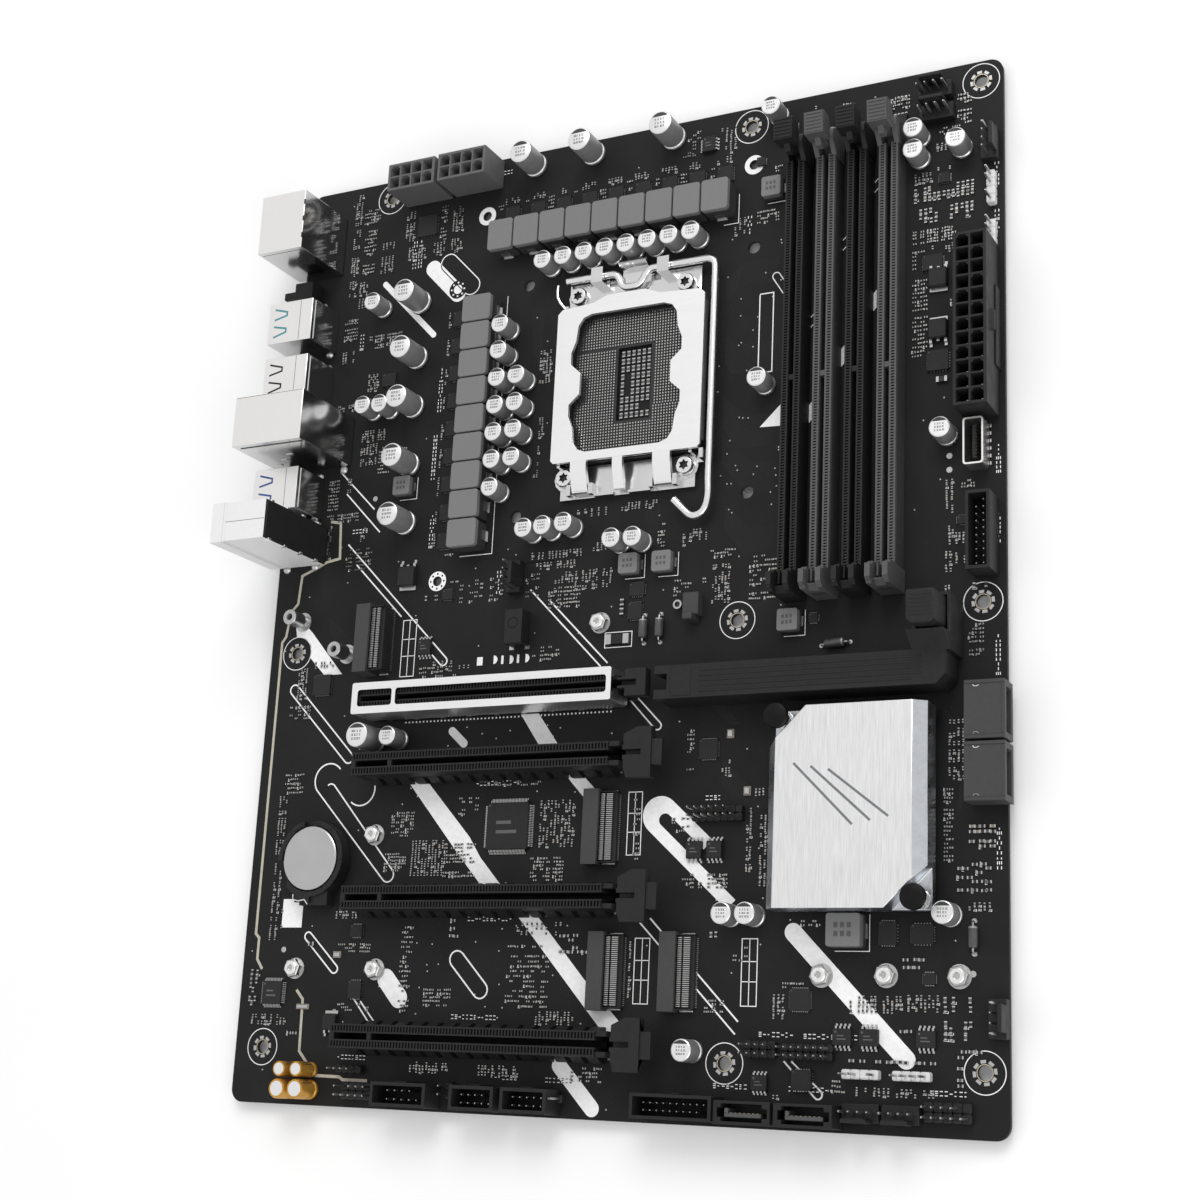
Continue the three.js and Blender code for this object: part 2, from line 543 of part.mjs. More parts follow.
// A connector can whose mouths are cut into its rear face.
function canGeometry(back, width, high, mouths, overhang = 2.4) {
  const front = REAR - overhang;
  const w = width / 2;
  const foot = block(REAR + 0.2, back, -w, w, 0, high);
  const can = block(front, back, -w, w, 0.5, high);
  return build([foot, can], mouths.map((mouth) => block(
    front - 1, front + mouth.deep, -mouth.width / 2, mouth.width / 2, mouth.low, mouth.low + mouth.high,
  )));
}

const USB_PAIR = [1.6, 8.2].map((low) => ({ low, width: 13.2, high: 5.4, deep: 14 }));
const NETWORK = { low: 15.6, width: 12, high: 11, deep: 14 };
const VIDEO = [{ low: 2.4, width: 15.6, high: 5.2, deep: 12 }, { low: 14.6, width: 16.6, high: 5.4, deep: 12 }];

place('display_ports', canGeometry(-106.8, 20.8, 24.5, VIDEO), FINISH.nickel, 0, 131.2);
place('usb_stack_1', canGeometry(-107, 14.6, 15, USB_PAIR), FINISH.nickel, 0, 99.4);
place('usb_stack_2', canGeometry(-107.2, 14.6, 15, USB_PAIR), FINISH.nickel, 0, 79.6);
place('lan_usb_stack', canGeometry(-96.9, 16.8, 29, [...USB_PAIR, NETWORK], 1.6), FINISH.nickel, 0, 59.7);
place('usb_stack_3', canGeometry(-107.2, 14.2, 14.6, USB_PAIR), FINISH.nickel, 0, 40.8);

// Audio jacks: three high, two wide, each a round socket.
function audioGeometry() {
  const front = REAR - 3.2;
  const bores = [5.4, 16.4, 27.4].flatMap((z) => [-3.1, 3.1].map((y) => rodX(1.8, front - 1, front + 12.5, y, z, 10)));
  return build([
    block(REAR + 0.2, -104.4, -6.3, 6.3, 0, 33),
    block(front, -104.4, -6.3, 6.3, 0.5, 33),
  ], bores);
}

place('audio_jacks', audioGeometry(), FINISH.white, 0, 24.4);

// The firmware-update push button and its switch body.
const SWITCH = { x0: -121.8, x1: -114.6, half: 3.4, high: 6 };

function switchBodyGeometry() {
  return build([block(SWITCH.x0, SWITCH.x1, -SWITCH.half, SWITCH.half, 0, SWITCH.high)], [
    block(SWITCH.x0 - 1, SWITCH.x0 + 3.4, -1.8, 1.8, 1.4, 5),
  ]);
}

place('bios_switch', switchBodyGeometry(), FINISH.blackPlastic, 0, 114.2);
place('bios_button', build([
  block(-127.2, SWITCH.x0 + 2.6, -1.3, 1.3, 1.9, 4.5),
]), FINISH.blackPlastic, 0, 114.2);

// ---------------------------------------------------------------- chipset heatsink
function heatsinkGeometry() {
  const { x0, x1, y0, y1, ledge, high } = HEATSINK;
  const cut = 12.2;
  const [rear, front] = [2.6, 3.6];
  // The top plate: two corners cut away, both long sides bevelled.
  const side = [
    [x0, ledge - 0.4], [x1, ledge - 0.4], [x1, high - 2.4], [x1 - front, high], [x0 + rear, high], [x0, high - 2.4],
  ];
  const body = lengthways(side, y0, y1);
  const corner = (x, y, sx, sy) => flat(shapeOf(
    sx * sy > 0
      ? [[x + sx, y + sy], [x + sx, y - sy * cut], [x - sx * cut, y + sy]]
      : [[x + sx, y + sy], [x - sx * cut, y + sy], [x + sx, y - sy * cut]],
  ), ledge, high + 1);
  return build([
    build([body], [corner(x0, y1, -1, 1), corner(x1, y0, 1, -1)]),
    block(x0, x1, y0, y1, 3.6, ledge),
    block(x0 + 12, x1 - 12, y0 + 16, y1 - 16, 1.4, 4),
  ], PUSH_PINS.map(([x, y]) => disc(2.2, -1, high + 2, x, y, 12)));
}

function pushPinGeometry() {
  return build([disc(3.5, 6, 7.6, 0, 0, 16), disc(2.9, 7.4, 8.4, 0, 0, 16), disc(1.7, -HEATSINK.ledge + 0.4, 6.2, 0, 0, 10)]);
}

place('chipset_heatsink', heatsinkGeometry(), FINISH.aluminium);
PUSH_PINS.forEach(([x, y], i) => {
  place(`heatsink_pin_${i + 1}`, pushPinGeometry(), FINISH.blackPlastic, x, y, TOP + HEATSINK.ledge);
});

// ---------------------------------------------------------------- coin cell and holder
function holderGeometry() {
  const { radius } = COIN;
  return build([
    disc(radius + 2, 0, 5, 0, 0, 24),
    block(-3.4, 6.8, -14.4, -9, 0, 4),
  ], [
    disc(radius + RUN, COIN.lift - 0.5, 9, 0, 0, 24),
    block(-13, -8, -16, 2, 2.2, 9),
    block(-3.2, 3.2, 8, 14, 2.6, 9),
  ]);
}

place('battery_holder', holderGeometry(), FINISH.blackPlastic, COIN.x, COIN.y);
place('coin_cell', build([
  disc(COIN.radius, COIN.lift, COIN.lift + COIN.thick - 0.5, 0, 0, 24),
  disc(COIN.radius - 0.6, COIN.lift + 1, COIN.lift + COIN.thick, 0, 0, 24),
]), FINISH.cell, COIN.x, COIN.y);

export default motherboard;
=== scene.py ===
"""The looks of a desktop motherboard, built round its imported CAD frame.

Builders work in millimetres in the frame's axes; heights start at the board's top face.
"""

import math
import random
from contextlib import contextmanager

import bmesh
import bpy
from mathutils import Matrix, Vector
from mathutils.geometry import tessellate_polygon


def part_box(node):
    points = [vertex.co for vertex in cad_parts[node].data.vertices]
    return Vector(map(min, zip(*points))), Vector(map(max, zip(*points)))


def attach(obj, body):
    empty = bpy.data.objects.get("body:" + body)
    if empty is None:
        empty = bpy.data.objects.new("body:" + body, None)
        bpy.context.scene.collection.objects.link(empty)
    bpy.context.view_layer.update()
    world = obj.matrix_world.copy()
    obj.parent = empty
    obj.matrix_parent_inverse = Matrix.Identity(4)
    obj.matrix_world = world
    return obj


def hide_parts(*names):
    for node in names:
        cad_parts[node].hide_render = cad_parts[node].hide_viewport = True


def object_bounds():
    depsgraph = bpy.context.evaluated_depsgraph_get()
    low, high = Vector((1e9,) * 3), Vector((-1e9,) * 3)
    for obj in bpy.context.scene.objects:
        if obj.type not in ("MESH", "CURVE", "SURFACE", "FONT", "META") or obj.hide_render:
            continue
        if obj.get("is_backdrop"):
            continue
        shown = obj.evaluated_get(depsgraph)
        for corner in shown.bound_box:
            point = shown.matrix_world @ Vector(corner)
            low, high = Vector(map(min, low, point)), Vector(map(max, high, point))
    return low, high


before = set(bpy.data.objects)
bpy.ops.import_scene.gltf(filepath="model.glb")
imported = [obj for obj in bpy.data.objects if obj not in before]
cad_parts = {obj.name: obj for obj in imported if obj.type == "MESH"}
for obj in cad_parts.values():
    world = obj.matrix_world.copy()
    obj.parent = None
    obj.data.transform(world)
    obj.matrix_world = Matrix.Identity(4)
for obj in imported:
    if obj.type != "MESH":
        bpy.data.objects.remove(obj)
CAD_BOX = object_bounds()

MM = 0.001
rng = random.Random(11)


def limits(node):
    """x0, x1, y0, y1, z0, z1 of a CAD node, in millimetres."""
    low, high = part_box(node)
    return [value / MM for pair in zip(low, high) for value in pair]


def middle(node):
    x0, x1, y0, y1, _, _ = limits(node)
    return (x0 + x1) / 2, (y0 + y1) / 2


TOP = limits("pcb")[5]
LAMINATE_LOW = 0.1
PRINT_LOW, PRINT_HIGH = -0.01, 0.035
BOTH = (-1, 1)


# ================================================================= materials
NOISE_EDGES = (0.32, 0.68)
ROUGH_EDGES = (0.3, 0.7)
RELIEF_DISTANCE = 0.00004


def look_material(name, color, roughness, metallic=0.0, spread=0.12, grain=700.0, bump=0.12, fine=9000.0,
                  stretch=(1, 1, 1), rough_spread=0.06, specular=0.4, coat=0.0):
    """A principled surface whose colour, roughness and relief come from noise."""
    material = bpy.data.materials.new(name)
    material.use_nodes = True
    nodes, links = material.node_tree.nodes, material.node_tree.links

    def node(kind, inputs):
        made = nodes.new("ShaderNode" + kind)
        for socket, value in inputs.items():
            made.inputs[socket].default_value = value
        return made

    surface = nodes["Principled BSDF"]
    for socket, value in (("Metallic", metallic), ("Specular IOR Level", specular), ("Coat Weight", coat)):
        surface.inputs[socket].default_value = value
    place = node("TexCoord", {})
    mapping = node("Mapping", {"Scale": stretch})
    links.new(place.outputs["Object"], mapping.inputs["Vector"])

    def noise(scale, detail):
        made = node("TexNoise", {"Scale": scale, "Detail": detail})
        links.new(mapping.outputs["Vector"], made.inputs["Vector"])
        return made.outputs["Fac"]

    broad = noise(grain, 4.0)
    ramp = node("ValToRGB", {})
    for element, position, factor in zip(ramp.color_ramp.elements, NOISE_EDGES, (1 - spread, 1 + spread)):
        element.position = position
        element.color = [min(channel * factor, 1.0) for channel in color] + [1.0]
    links.new(broad, ramp.inputs["Fac"])
    links.new(ramp.outputs["Color"], surface.inputs["Base Color"])

    sheen = node("MapRange", {"From Min": ROUGH_EDGES[0], "From Max": ROUGH_EDGES[1],
                              "To Min": max(roughness - rough_spread, 0.03),
                              "To Max": min(roughness + rough_spread, 1.0)})
    links.new(noise(grain * 0.37, 3.0), sheen.inputs["Value"])
    links.new(sheen.outputs["Result"], surface.inputs["Roughness"])

    relief = node("Bump", {"Strength": bump, "Distance": RELIEF_DISTANCE})
    links.new(noise(fine, 2.0), relief.inputs["Height"])
    links.new(relief.outputs["Normal"], surface.inputs["Normal"])
    return material


def grey(value, warm=0.0):
    return (value * (1 + warm), value, value * (1 - warm))


PLASTIC_GRAIN = dict(bump=0.2, fine=11000)
LOOKS = {
    # name: colour, roughness, metallic, further settings
    "mask": (grey(0.0125), 0.5, 0.0, dict(specular=0.13, grain=60.0, spread=0.14, bump=0.2, fine=5000)),
    "mask_trace": (grey(0.0185), 0.45, 0.0, dict(specular=0.15, spread=0.1)),
    "laminate_edge": (grey(0.03), 0.7, 0.0, dict(specular=0.2, grain=2500, stretch=(1, 1, 6))),
    "print": (grey(0.80), 0.6, 0.0, dict(spread=0.05, specular=0.2)),
    "audio_border": ((0.42, 0.39, 0.32), 0.5, 0.0, dict(spread=0.08)),
    "tin": (grey(0.50, 0.01), 0.34, 1.0, dict(spread=0.1, grain=3000, bump=0.25)),
    "gold": ((0.50, 0.44, 0.33), 0.36, 1.0, dict(spread=0.08, grain=3000)),
    "black_plastic": (grey(0.0125), 0.52, 0.0, dict(specular=0.26, bump=0.22, fine=11000)),
    # deep_plastic: the near-black of black tongues and jack rings, and also painted shade on the floors of grooves,
    # wells and bores and inside the cans
    "deep_plastic": (grey(0.006), 0.6, 0.0, dict(specular=0.15)),
    "pin_cap": (grey(0.006), 0.4, 0.0, dict(specular=0.12)),
    "grey_plastic": (grey(0.078), 0.5, 0.0, dict(specular=0.3, spread=0.05, **PLASTIC_GRAIN)),
    "slate_plastic": (grey(0.046), 0.5, 0.0, dict(specular=0.28, spread=0.05, **PLASTIC_GRAIN)),
    "ash_plastic": (grey(0.098), 0.5, 0.0, dict(specular=0.28, spread=0.05, **PLASTIC_GRAIN)),
    "white_plastic": (grey(0.62), 0.5, 0.0, dict(spread=0.04)),
    "pale_plastic": (grey(0.70), 0.45, 0.0, dict(spread=0.012, bump=0.04)),
    "epoxy": (grey(0.0155), 0.55, 0.0, dict(specular=0.25, grain=1800, bump=0.3, fine=16000)),
    "epoxy_mark": (grey(0.10), 0.6, 0.0, dict(specular=0.2)),
    "choke_top": (grey(0.165), 0.6, 0.0, dict(grain=2600, spread=0.03, bump=0.08, specular=0.25)),
    # choke_side also serves as painted shade in the screw recesses and in the slits of the can tops
    "choke_side": (grey(0.035), 0.6, 0.1, dict(grain=2600, bump=0.3)),
    "coil_top": (grey(0.17), 0.5, 0.2, dict(grain=2600, spread=0.06, bump=0.15)),
    "coil_mark": (grey(0.075), 0.6, 0.0, {}),
    "can_side": (grey(0.27), 0.42, 0.45, dict(spread=0.06, grain=500, rough_spread=0.05)),
    "can_top": (grey(0.80), 0.36, 0.85, dict(spread=0.04, grain=1500, stretch=(1, 12, 1))),
    "can_ring": (grey(0.74), 0.3, 0.8, dict(spread=0.05)),
    "can_mark": (grey(0.035), 0.5, 0.0, dict(spread=0.2)),
    "gold_sleeve": ((0.50, 0.26, 0.045), 0.32, 0.55, dict(spread=0.12, grain=900, stretch=(1, 1, 0.2))),
    "gold_mark": ((0.07, 0.045, 0.02), 0.45, 0.0, {}),
    "steel": (grey(0.90), 0.34, 1.0, dict(spread=0.012, grain=200, stretch=(1, 9, 1), bump=0.004, fine=900,
                                          rough_spread=0.02)),
    "bright_steel": (grey(0.80), 0.22, 1.0, dict(spread=0.02, grain=300, bump=0.03, rough_spread=0.03)),
    "frame_steel": (grey(0.70), 0.2, 1.0, dict(spread=0.06, grain=60, rough_spread=0.08, bump=0.08, fine=140)),
    "nut": (grey(0.50), 0.36, 1.0, dict(spread=0.05, grain=900, bump=0.06)),
    # mirror_can: the can metal made glossier, with a darker colour that is painted shade, for the sides and inner
    # ends of the cans
    "mirror_can": (grey(0.62), 0.15, 1.0, dict(spread=0.04, grain=45, rough_spread=0.06, bump=0.05, fine=90)),
    "can_shell": (grey(0.86, 0.01), 0.3, 1.0, dict(spread=0.012, grain=400, stretch=(9, 1, 1), bump=0.02,
                                                   rough_spread=0.015)),
    "contact_field": (grey(0.03), 0.6, 0.0, dict(specular=0.2)),
    "brushed": (grey(0.80), 0.36, 1.0, dict(spread=0.13, grain=900, stretch=(10, 0.16, 1), rough_spread=0.08,
                                            bump=0.3, fine=1600)),
    # shaded_heatsink_edge: a smoother, unbrushed finish for the heatsink's sides and bevels, darker than the top as
    # painted shade
    "shaded_heatsink_edge": ((0.55, 0.57, 0.60), 0.3, 1.0, dict(spread=0.05)),
    "engraved": ((0.16, 0.17, 0.18), 0.5, 0.2, {}),
    "cell": (grey(0.50), 0.33, 1.0, dict(spread=0.03, grain=120, rough_spread=0.03, bump=0.04)),
    "ceramic": ((0.24, 0.20, 0.16), 0.5, 0.0, dict(grain=2500)),
    "ceramic_dark": (grey(0.09), 0.5, 0.0, dict(grain=2500)),
    "resistor": (grey(0.02), 0.4, 0.0, dict(grain=2500)),
    "usb_blue": ((0.03, 0.10, 0.45), 0.45, 0.0, {}),
    "usb_teal": ((0.03, 0.33, 0.38), 0.45, 0.0, {}),
    "diode_glass": (grey(0.055), 0.3, 0.0, dict(coat=0.3)),
}
_made = {}


def look(name):
    if name not in _made:
        color, roughness, metallic, extra = LOOKS[name]
        _made[name] = look_material(name, color, roughness, metallic, **extra)
    return _made[name]


# ================================================================= mesh building
def arc(x, y, radius, steps, start, sweep, closed=False):
    """Points on a circle, start and sweep in degrees; closed leaves out the last one."""
    angles = [math.radians(start + sweep * k / steps) for k in range(steps + (not closed))]
    return [(x + radius * math.cos(a), y + radius * math.sin(a)) for a in angles]


def circle(x, y, radius, steps=28):
    return arc(x, y, radius, steps, 0.0, 360.0, True)


def rounded(x0, x1, y0, y1, radius, steps=5):
    """A rectangle with round corners, anticlockwise."""
    centres = ((x1 - radius, y0 + radius, -90), (x1 - radius, y1 - radius, 0),
               (x0 + radius, y1 - radius, 90), (x0 + radius, y0 + radius, 180))
    return [point for x, y, start in centres for point in arc(x, y, radius, steps, start, 90)]


def rectangle(x0, x1, y0, y1):
    return [(x0, y0), (x1, y0), (x1, y1), (x0, y1)]


def cut_rectangle(x0, x1, y0, y1, cut):
    return [(x0 + cut, y0), (x1 - cut, y0), (x1, y0 + cut), (x1, y1 - cut),
            (x1 - cut, y1), (x0 + cut, y1), (x0, y1 - cut), (x0, y0 + cut)]


def shrunk(x0, x1, y0, y1, gap):
    return x0 + gap, x1 - gap, y0 + gap, y1 - gap


def pair(centre, side, one, other):
    """The lower and higher of two distances from a centre line, on one side of it."""
    return sorted((centre + side * one, centre + side * other))


def offset(outline, distance):
    """Moves each edge of an anticlockwise outline inwards by distance."""
    moved = []
    for i, point in enumerate(outline):
        before, here, after = Vector(outline[i - 1]), Vector(point), Vector(outline[(i + 1) % len(outline)])
        first, second = (here - before).normalized(), (after - here).normalized()
        normal_one, normal_two = Vector((-first.y, first.x)), Vector((-second.y, second.x))
        scale = distance / max(1 + normal_one.dot(normal_two), 0.3)
        moved.append(tuple(here + (normal_one + normal_two) * scale))
    return moved


class Form:
    """Gathers closed pieces, in millimetres above the board, with a look for each face."""

    def __init__(self, base=TOP):
        self.points, self.faces, self.looks = [], [], []
        self.place = Matrix.Translation((0, 0, base))

    @contextmanager
    def at(self, x=0.0, y=0.0, z=0.0, turn=0.0):
        kept = self.place
        self.place = kept @ Matrix.Translation((x, y, z)) @ Matrix.Rotation(math.radians(turn), 4, "Z")
        yield self
        self.place = kept

    def add(self, points, faces, looks):
        first = len(self.points)
        self.points += [self.place @ Vector(point) for point in points]
        self.faces += [[first + i for i in face] for face in faces]
        self.looks += looks

    def skin(self, rings, looks, ends=None):
        """Joins closed rings of equal length, and closes the first and last one."""
        count = len(rings[0])
        points = [point for ring in rings for point in ring]
        faces, names = [], []
        for k in range(len(rings) - 1):
            for i in range(count):
                j = (i + 1) % count
                faces.append([k * count + i, k * count + j, (k + 1) * count + j, (k + 1) * count + i])
                names.append(looks if isinstance(looks, str) else looks[k])
        low, high = ends or (names[0], names[-1])
        last = (len(rings) - 1) * count
        faces += [list(range(count - 1, -1, -1)), [last + i for i in range(count)]]
        self.add(points, faces, names + [low, high])

    def prism(self, outline, z0, z1, name, chamfer=0.0, top=None):
        rings = [[(x, y, z0) for x, y in outline]]
        if chamfer:
            rings.append([(x, y, z1 - chamfer) for x, y in outline])
            outline = offset(outline, chamfer)
        rings.append([(x, y, z1) for x, y in outline])
        self.skin(rings, name, (name, top or name))

    def block(self, x0, x1, y0, y1, z0, z1, name, chamfer=0.0, top=None):
        outline = cut_rectangle(x0, x1, y0, y1, chamfer) if chamfer else rectangle(x0, x1, y0, y1)
        self.prism(outline, z0, z1, name, chamfer, top)

    def box(self, x, y, half_x, half_y, z0, z1, name, chamfer=0.0):
        """A block given by its middle and its half widths."""
        self.block(x - half_x, x + half_x, y - half_y, y + half_y, z0, z1, name, chamfer)

    def printed(self, outline, name="print"):
        self.prism(outline, PRINT_LOW, PRINT_HIGH, name)

    def profile_x(self, outline, x0, x1, name):
        """An outline in (y, z), extruded along X."""
        self.skin([[(x, y, z) for y, z in outline] for x in (x0, x1)], name)

    def profile_y(self, outline, y0, y1, name):
        """An outline in (x, z), extruded along Y."""
        self.skin([[(x, y, z) for x, z in outline] for y in (y1, y0)], name)

    def lathe(self, x, y, profile, names, sides=24, ends=None):
        """Radius and height pairs, turned about a vertical axis."""
        self.skin([[(px, py, z) for px, py in circle(x, y, r, sides)] for r, z in profile], names, ends)

    def roll(self, y, z, profile, names, sides, ends=None):
        """X and radius pairs, turned about an axis along X."""
        self.skin([[(x, py, pz) for py, pz in circle(y, z, r, sides)] for x, r in profile], names, ends)

    def tube(self, path, radius, name, sides=10):
        path = [Vector(point) for point in path]
        rings, side = [], None
        for i, point in enumerate(path):
            ahead = (path[min(i + 1, len(path) - 1)] - path[max(i - 1, 0)]).normalized()
            side = side or ahead.orthogonal().normalized()
            side = (side - ahead * side.dot(ahead)).normalized()
            up = ahead.cross(side)
            rings.append([tuple(point + (side * a + up * b) * radius) for a, b in circle(0, 0, 1, sides)])
        self.skin(rings, name)

    def plate(self, outline, holes, z0, z1, name, edge=None):
        """A flat sheet with holes; the outline runs anticlockwise and the holes too."""
        loops = [outline] + holes
        flat = [point for loop in loops for point in loop]
        count = len(flat)
        faces = []
        for a, b, c in tessellate_polygon([[Vector((x, y, 0)) for x, y in loop] for loop in loops]):
            (ax, ay), (bx, by), (cx, cy) = flat[a], flat[b], flat[c]
            if (bx - ax) * (cy - ay) - (cx - ax) * (by - ay) < 0:
                b, c = c, b
            faces += [[a + count, b + count, c + count], [c, b, a]]
        names = [name] * len(faces)
        first = 0
        for loop in loops:
            size = len(loop)
            for i in range(size):
                a, b = first + i, first + (i + 1) % size
                faces.append([a, b, b + count, a + count] if first == 0 else [b, a, a + count, b + count])
                names.append(edge or name)
            first += size
        self.add([(x, y, z) for z in (z0, z1) for x, y in flat], faces, names)

    def ring(self, x, y, outer, inner, steps, z0, z1, name):
        self.plate(circle(x, y, outer, steps), [circle(x, y, inner, steps)], z0, z1, name)

    def ribbon(self, points, width, z0, z1, name, closed=False):
        """A flat strip that follows a line with mitred corners."""
        if closed:
            self.plate(offset(points, -width / 2), [offset(points, width / 2)], z0, z1, name)
            return
        left, right = [], []
        for i, point in enumerate(points):
            here = Vector(point)
            before = here - Vector(points[i - 1]) if i else Vector(points[1]) - here
            after = Vector(points[i + 1]) - here if i + 1 < len(points) else before
            first, second = before.normalized(), after.normalized()
            normal = Vector((-first.y - second.y, first.x + second.x))
            normal *= width / 2 / max(1 + first.dot(second), 0.4)
            left.append(tuple(here + normal))
            right.append(tuple(here - normal))
        self.prism(right + left[::-1], z0, z1, name)

    def line(self, points, width=0.45, closed=False):
        self.ribbon(points, width, PRINT_LOW, PRINT_HIGH, "print", closed)


def finish_piece(name, mesh, body, replaces, bevel, sharp):
    mesh.polygons.foreach_set("use_smooth", [True] * len(mesh.polygons))
    mesh.set_sharp_from_angle(angle=math.radians(sharp))
    made = bpy.data.objects.new(name, mesh)
    bpy.context.scene.collection.objects.link(made)
    if bevel:
        edge = made.modifiers.new("edge", "BEVEL")
        edge.width = bevel * MM
        edge.segments = 2
        edge.limit_method = "ANGLE"
        edge.angle_limit = math.radians(sharp)
        edge.use_clamp_overlap = True
    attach(made, body)
    if replaces:
        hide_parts(*replaces)
    return made


def piece(name, form, body="board", replaces=(), bevel=0.0, sharp=32):
    """Makes one object of a form and lets it ride on a body."""
    mesh = bpy.data.meshes.new(name)
    mesh.from_pydata([point * MM for point in form.points], [], form.faces)
    names = sorted(set(form.looks))
    for each in names:
        mesh.materials.append(look(each))
    mesh.polygons.foreach_set("material_index", [names.index(each) for each in form.looks])
    return finish_piece(name, mesh, body, replaces, bevel, sharp)


MERGE_DISTANCE = 2e-6
FLAT_ANGLE = 1.5


def refine(node, name, body="board", bevel=0.18, others=(), choose=None, join=True):
    """Takes a CAD node's own shape, joins its flat faces and softens its edges; choose picks among the others."""
    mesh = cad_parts[node].data.copy()
    work = bmesh.new()
    work.from_mesh(mesh)
    bmesh.ops.remove_doubles(work, verts=work.verts, dist=MERGE_DISTANCE)
    if join:
        bmesh.ops.dissolve_limit(work, angle_limit=math.radians(FLAT_ANGLE), verts=work.verts, edges=work.edges)
    work.to_mesh(mesh)
    work.free()
    mesh.materials.clear()
    names = [name, *others]
    for each in names:
        mesh.materials.append(look(each))
    for polygon in mesh.polygons:
        pick = choose(polygon.center / MM, polygon.normal) if choose else None
        polygon.material_index = names.index(pick) if pick else 0
    return finish_piece(node + "_shape", mesh, body, [node], bevel, 30)


def black(node, body="board", bevel=0.18):
    return refine(node, "black_plastic", body, bevel)


# ================================================================= bare board and print
UPPER_HOLES = [(-88.98, 146.15), (43.1, 146.15), (115.49, 146.15)]
LOWER_HOLES = [(x, y) for y in (-11.33, -135.79) for x in (-111.84, 43.1, 115.49)]
MOUNT_HOLES = UPPER_HOLES + LOWER_HOLES
SOCKET_X, SOCKET_Y = middle("cpu_socket")
COOLER_HOLES = [(SOCKET_X + i * 39, SOCKET_Y + j * 39) for i in BOTH for j in BOTH]
RINGED_HOLES = [(44.3, 133.0), (-50.6, 132.8), (-60.1, 108.3), (-60.1, 8.8)]
DARK_RING = RINGED_HOLES[2]
SCREWS = [f"socket_screw_{i}" for i in range(1, 5)]
CELL_PITCH, STAGE_PITCH = 4.2, 9.44
POWER_GRIDS = (("atx_power_connector", 2, 12), ("cpu_power_connector_1", 4, 2), ("cpu_power_connector_2", 4, 2))


def board():
    form = Form(0)
    holes = [circle(*centre, radius, steps)
             for centres, radius, steps in ((MOUNT_HOLES, 1.98, 32), (COOLER_HOLES, 2.0, 28), (RINGED_HOLES, 1.6, 24),
                                            (map(middle, SCREWS), 1.9, 20)) for centre in centres]
    form.plate(rounded(-122, 122, -152.5, 152.5, 4, 10), holes, LAMINATE_LOW, TOP, "mask", "laminate_edge")
    for x, y in MOUNT_HOLES:
        form.ring(x, y, 4.4, 2.0, 32, 0, 0.12, "tin")
    form.lathe(0, 0, [(4.4, 0.0), (4.4, 0.12)], "tin", 24)
    piece("board_laminate", form, replaces=["pcb"])


def through_joints():
    """Rows of solder joints under the long connectors, on the underside."""
    form = Form(0)

    def joint(x, y, radius, low):
        form.lathe(x, y, [(0.16, low), (0.34, low + 0.35), (radius, 0.1)], "tin", 8)

    slots = [[middle(f"{kind}_slot_{i}") for i in range(1, 5)] for kind in ("dimm", "pcie")]
    for x, _ in slots[0]:
        for k in range(72):
            for side in (-2.2, 2.2):
                joint(x + side, 1.5 + 1.72 * k, 0.42, -0.8)
    for _, y in slots[1]:
        for k in range(41):
            for side in (-1.9, 1.9):
                joint(-78 + 2.1 * k, y + side, 0.45, -0.8)
    for node, columns, rows in POWER_GRIDS:
        x, y = middle(node)
        for i, j, dx, dy in cells(columns, rows):
            joint(x - 0.4 + dx, y + dy, 1.2, -1.7)
    for node in ("display_ports", "usb_stack_1", "usb_stack_2", "usb_stack_3", "lan_usb_stack", "audio_jacks"):
        _, _, y0, y1, _, _ = limits(node)
        for k in range(5):
            for x in (-118, -113.5, -109.6):
                joint(x, y0 + 1.6 + (y1 - y0 - 3.2) * k / 4, 0.6, -1.2)
    # The feet that carry the board: the tall cones of the CAD model.
    feet = [(slots[0][i][0], y) for i in (0, 2) for y in (4, 122)]
    feet += [(x, y) for _, y in slots[1][1:] for x in (-76, 6)]
    feet += [(-113, 131), (-113, 60), (-113, 24), (115.6, 88), (115.6, 45), (-67, 146.6), (116, -59), (50, -149)]
    for x, y in feet:
        form.lathe(x, y, [(0.4, -1.88), (0.6, -1.4), (0.95, -0.5), (1.35, 0.1)], "tin", 14)
    piece("solder_joints_under", form)


def cells(columns, rows):
    """Column, row and distances from the middle for each cell of a power connector."""
    return [(i, j, (i - (columns - 1) / 2) * CELL_PITCH, (j - (rows - 1) / 2) * CELL_PITCH)
            for i in range(columns) for j in range(rows)]


def bar(form, x, y, length, width, turn):
    """A solid printed stripe with round ends that starts at (x, y)."""
    radius = width / 2
    with form.at(x, y, 0, turn):
        form.printed(arc(length - radius, 0, radius, 10, -90, 180) + arc(radius, 0, radius, 10, 90, 180))


def stadium(form, x, y, length, width, turn, thick=0.45):
    """An outlined stripe with round ends, centred on (x, y)."""
    radius = width / 2
    half = length / 2 - radius
    with form.at(x, y, 0, turn):
        form.line(arc(half, 0, radius, 10, -90, 180) + arc(-half, 0, radius, 10, 90, 180), thick, closed=True)


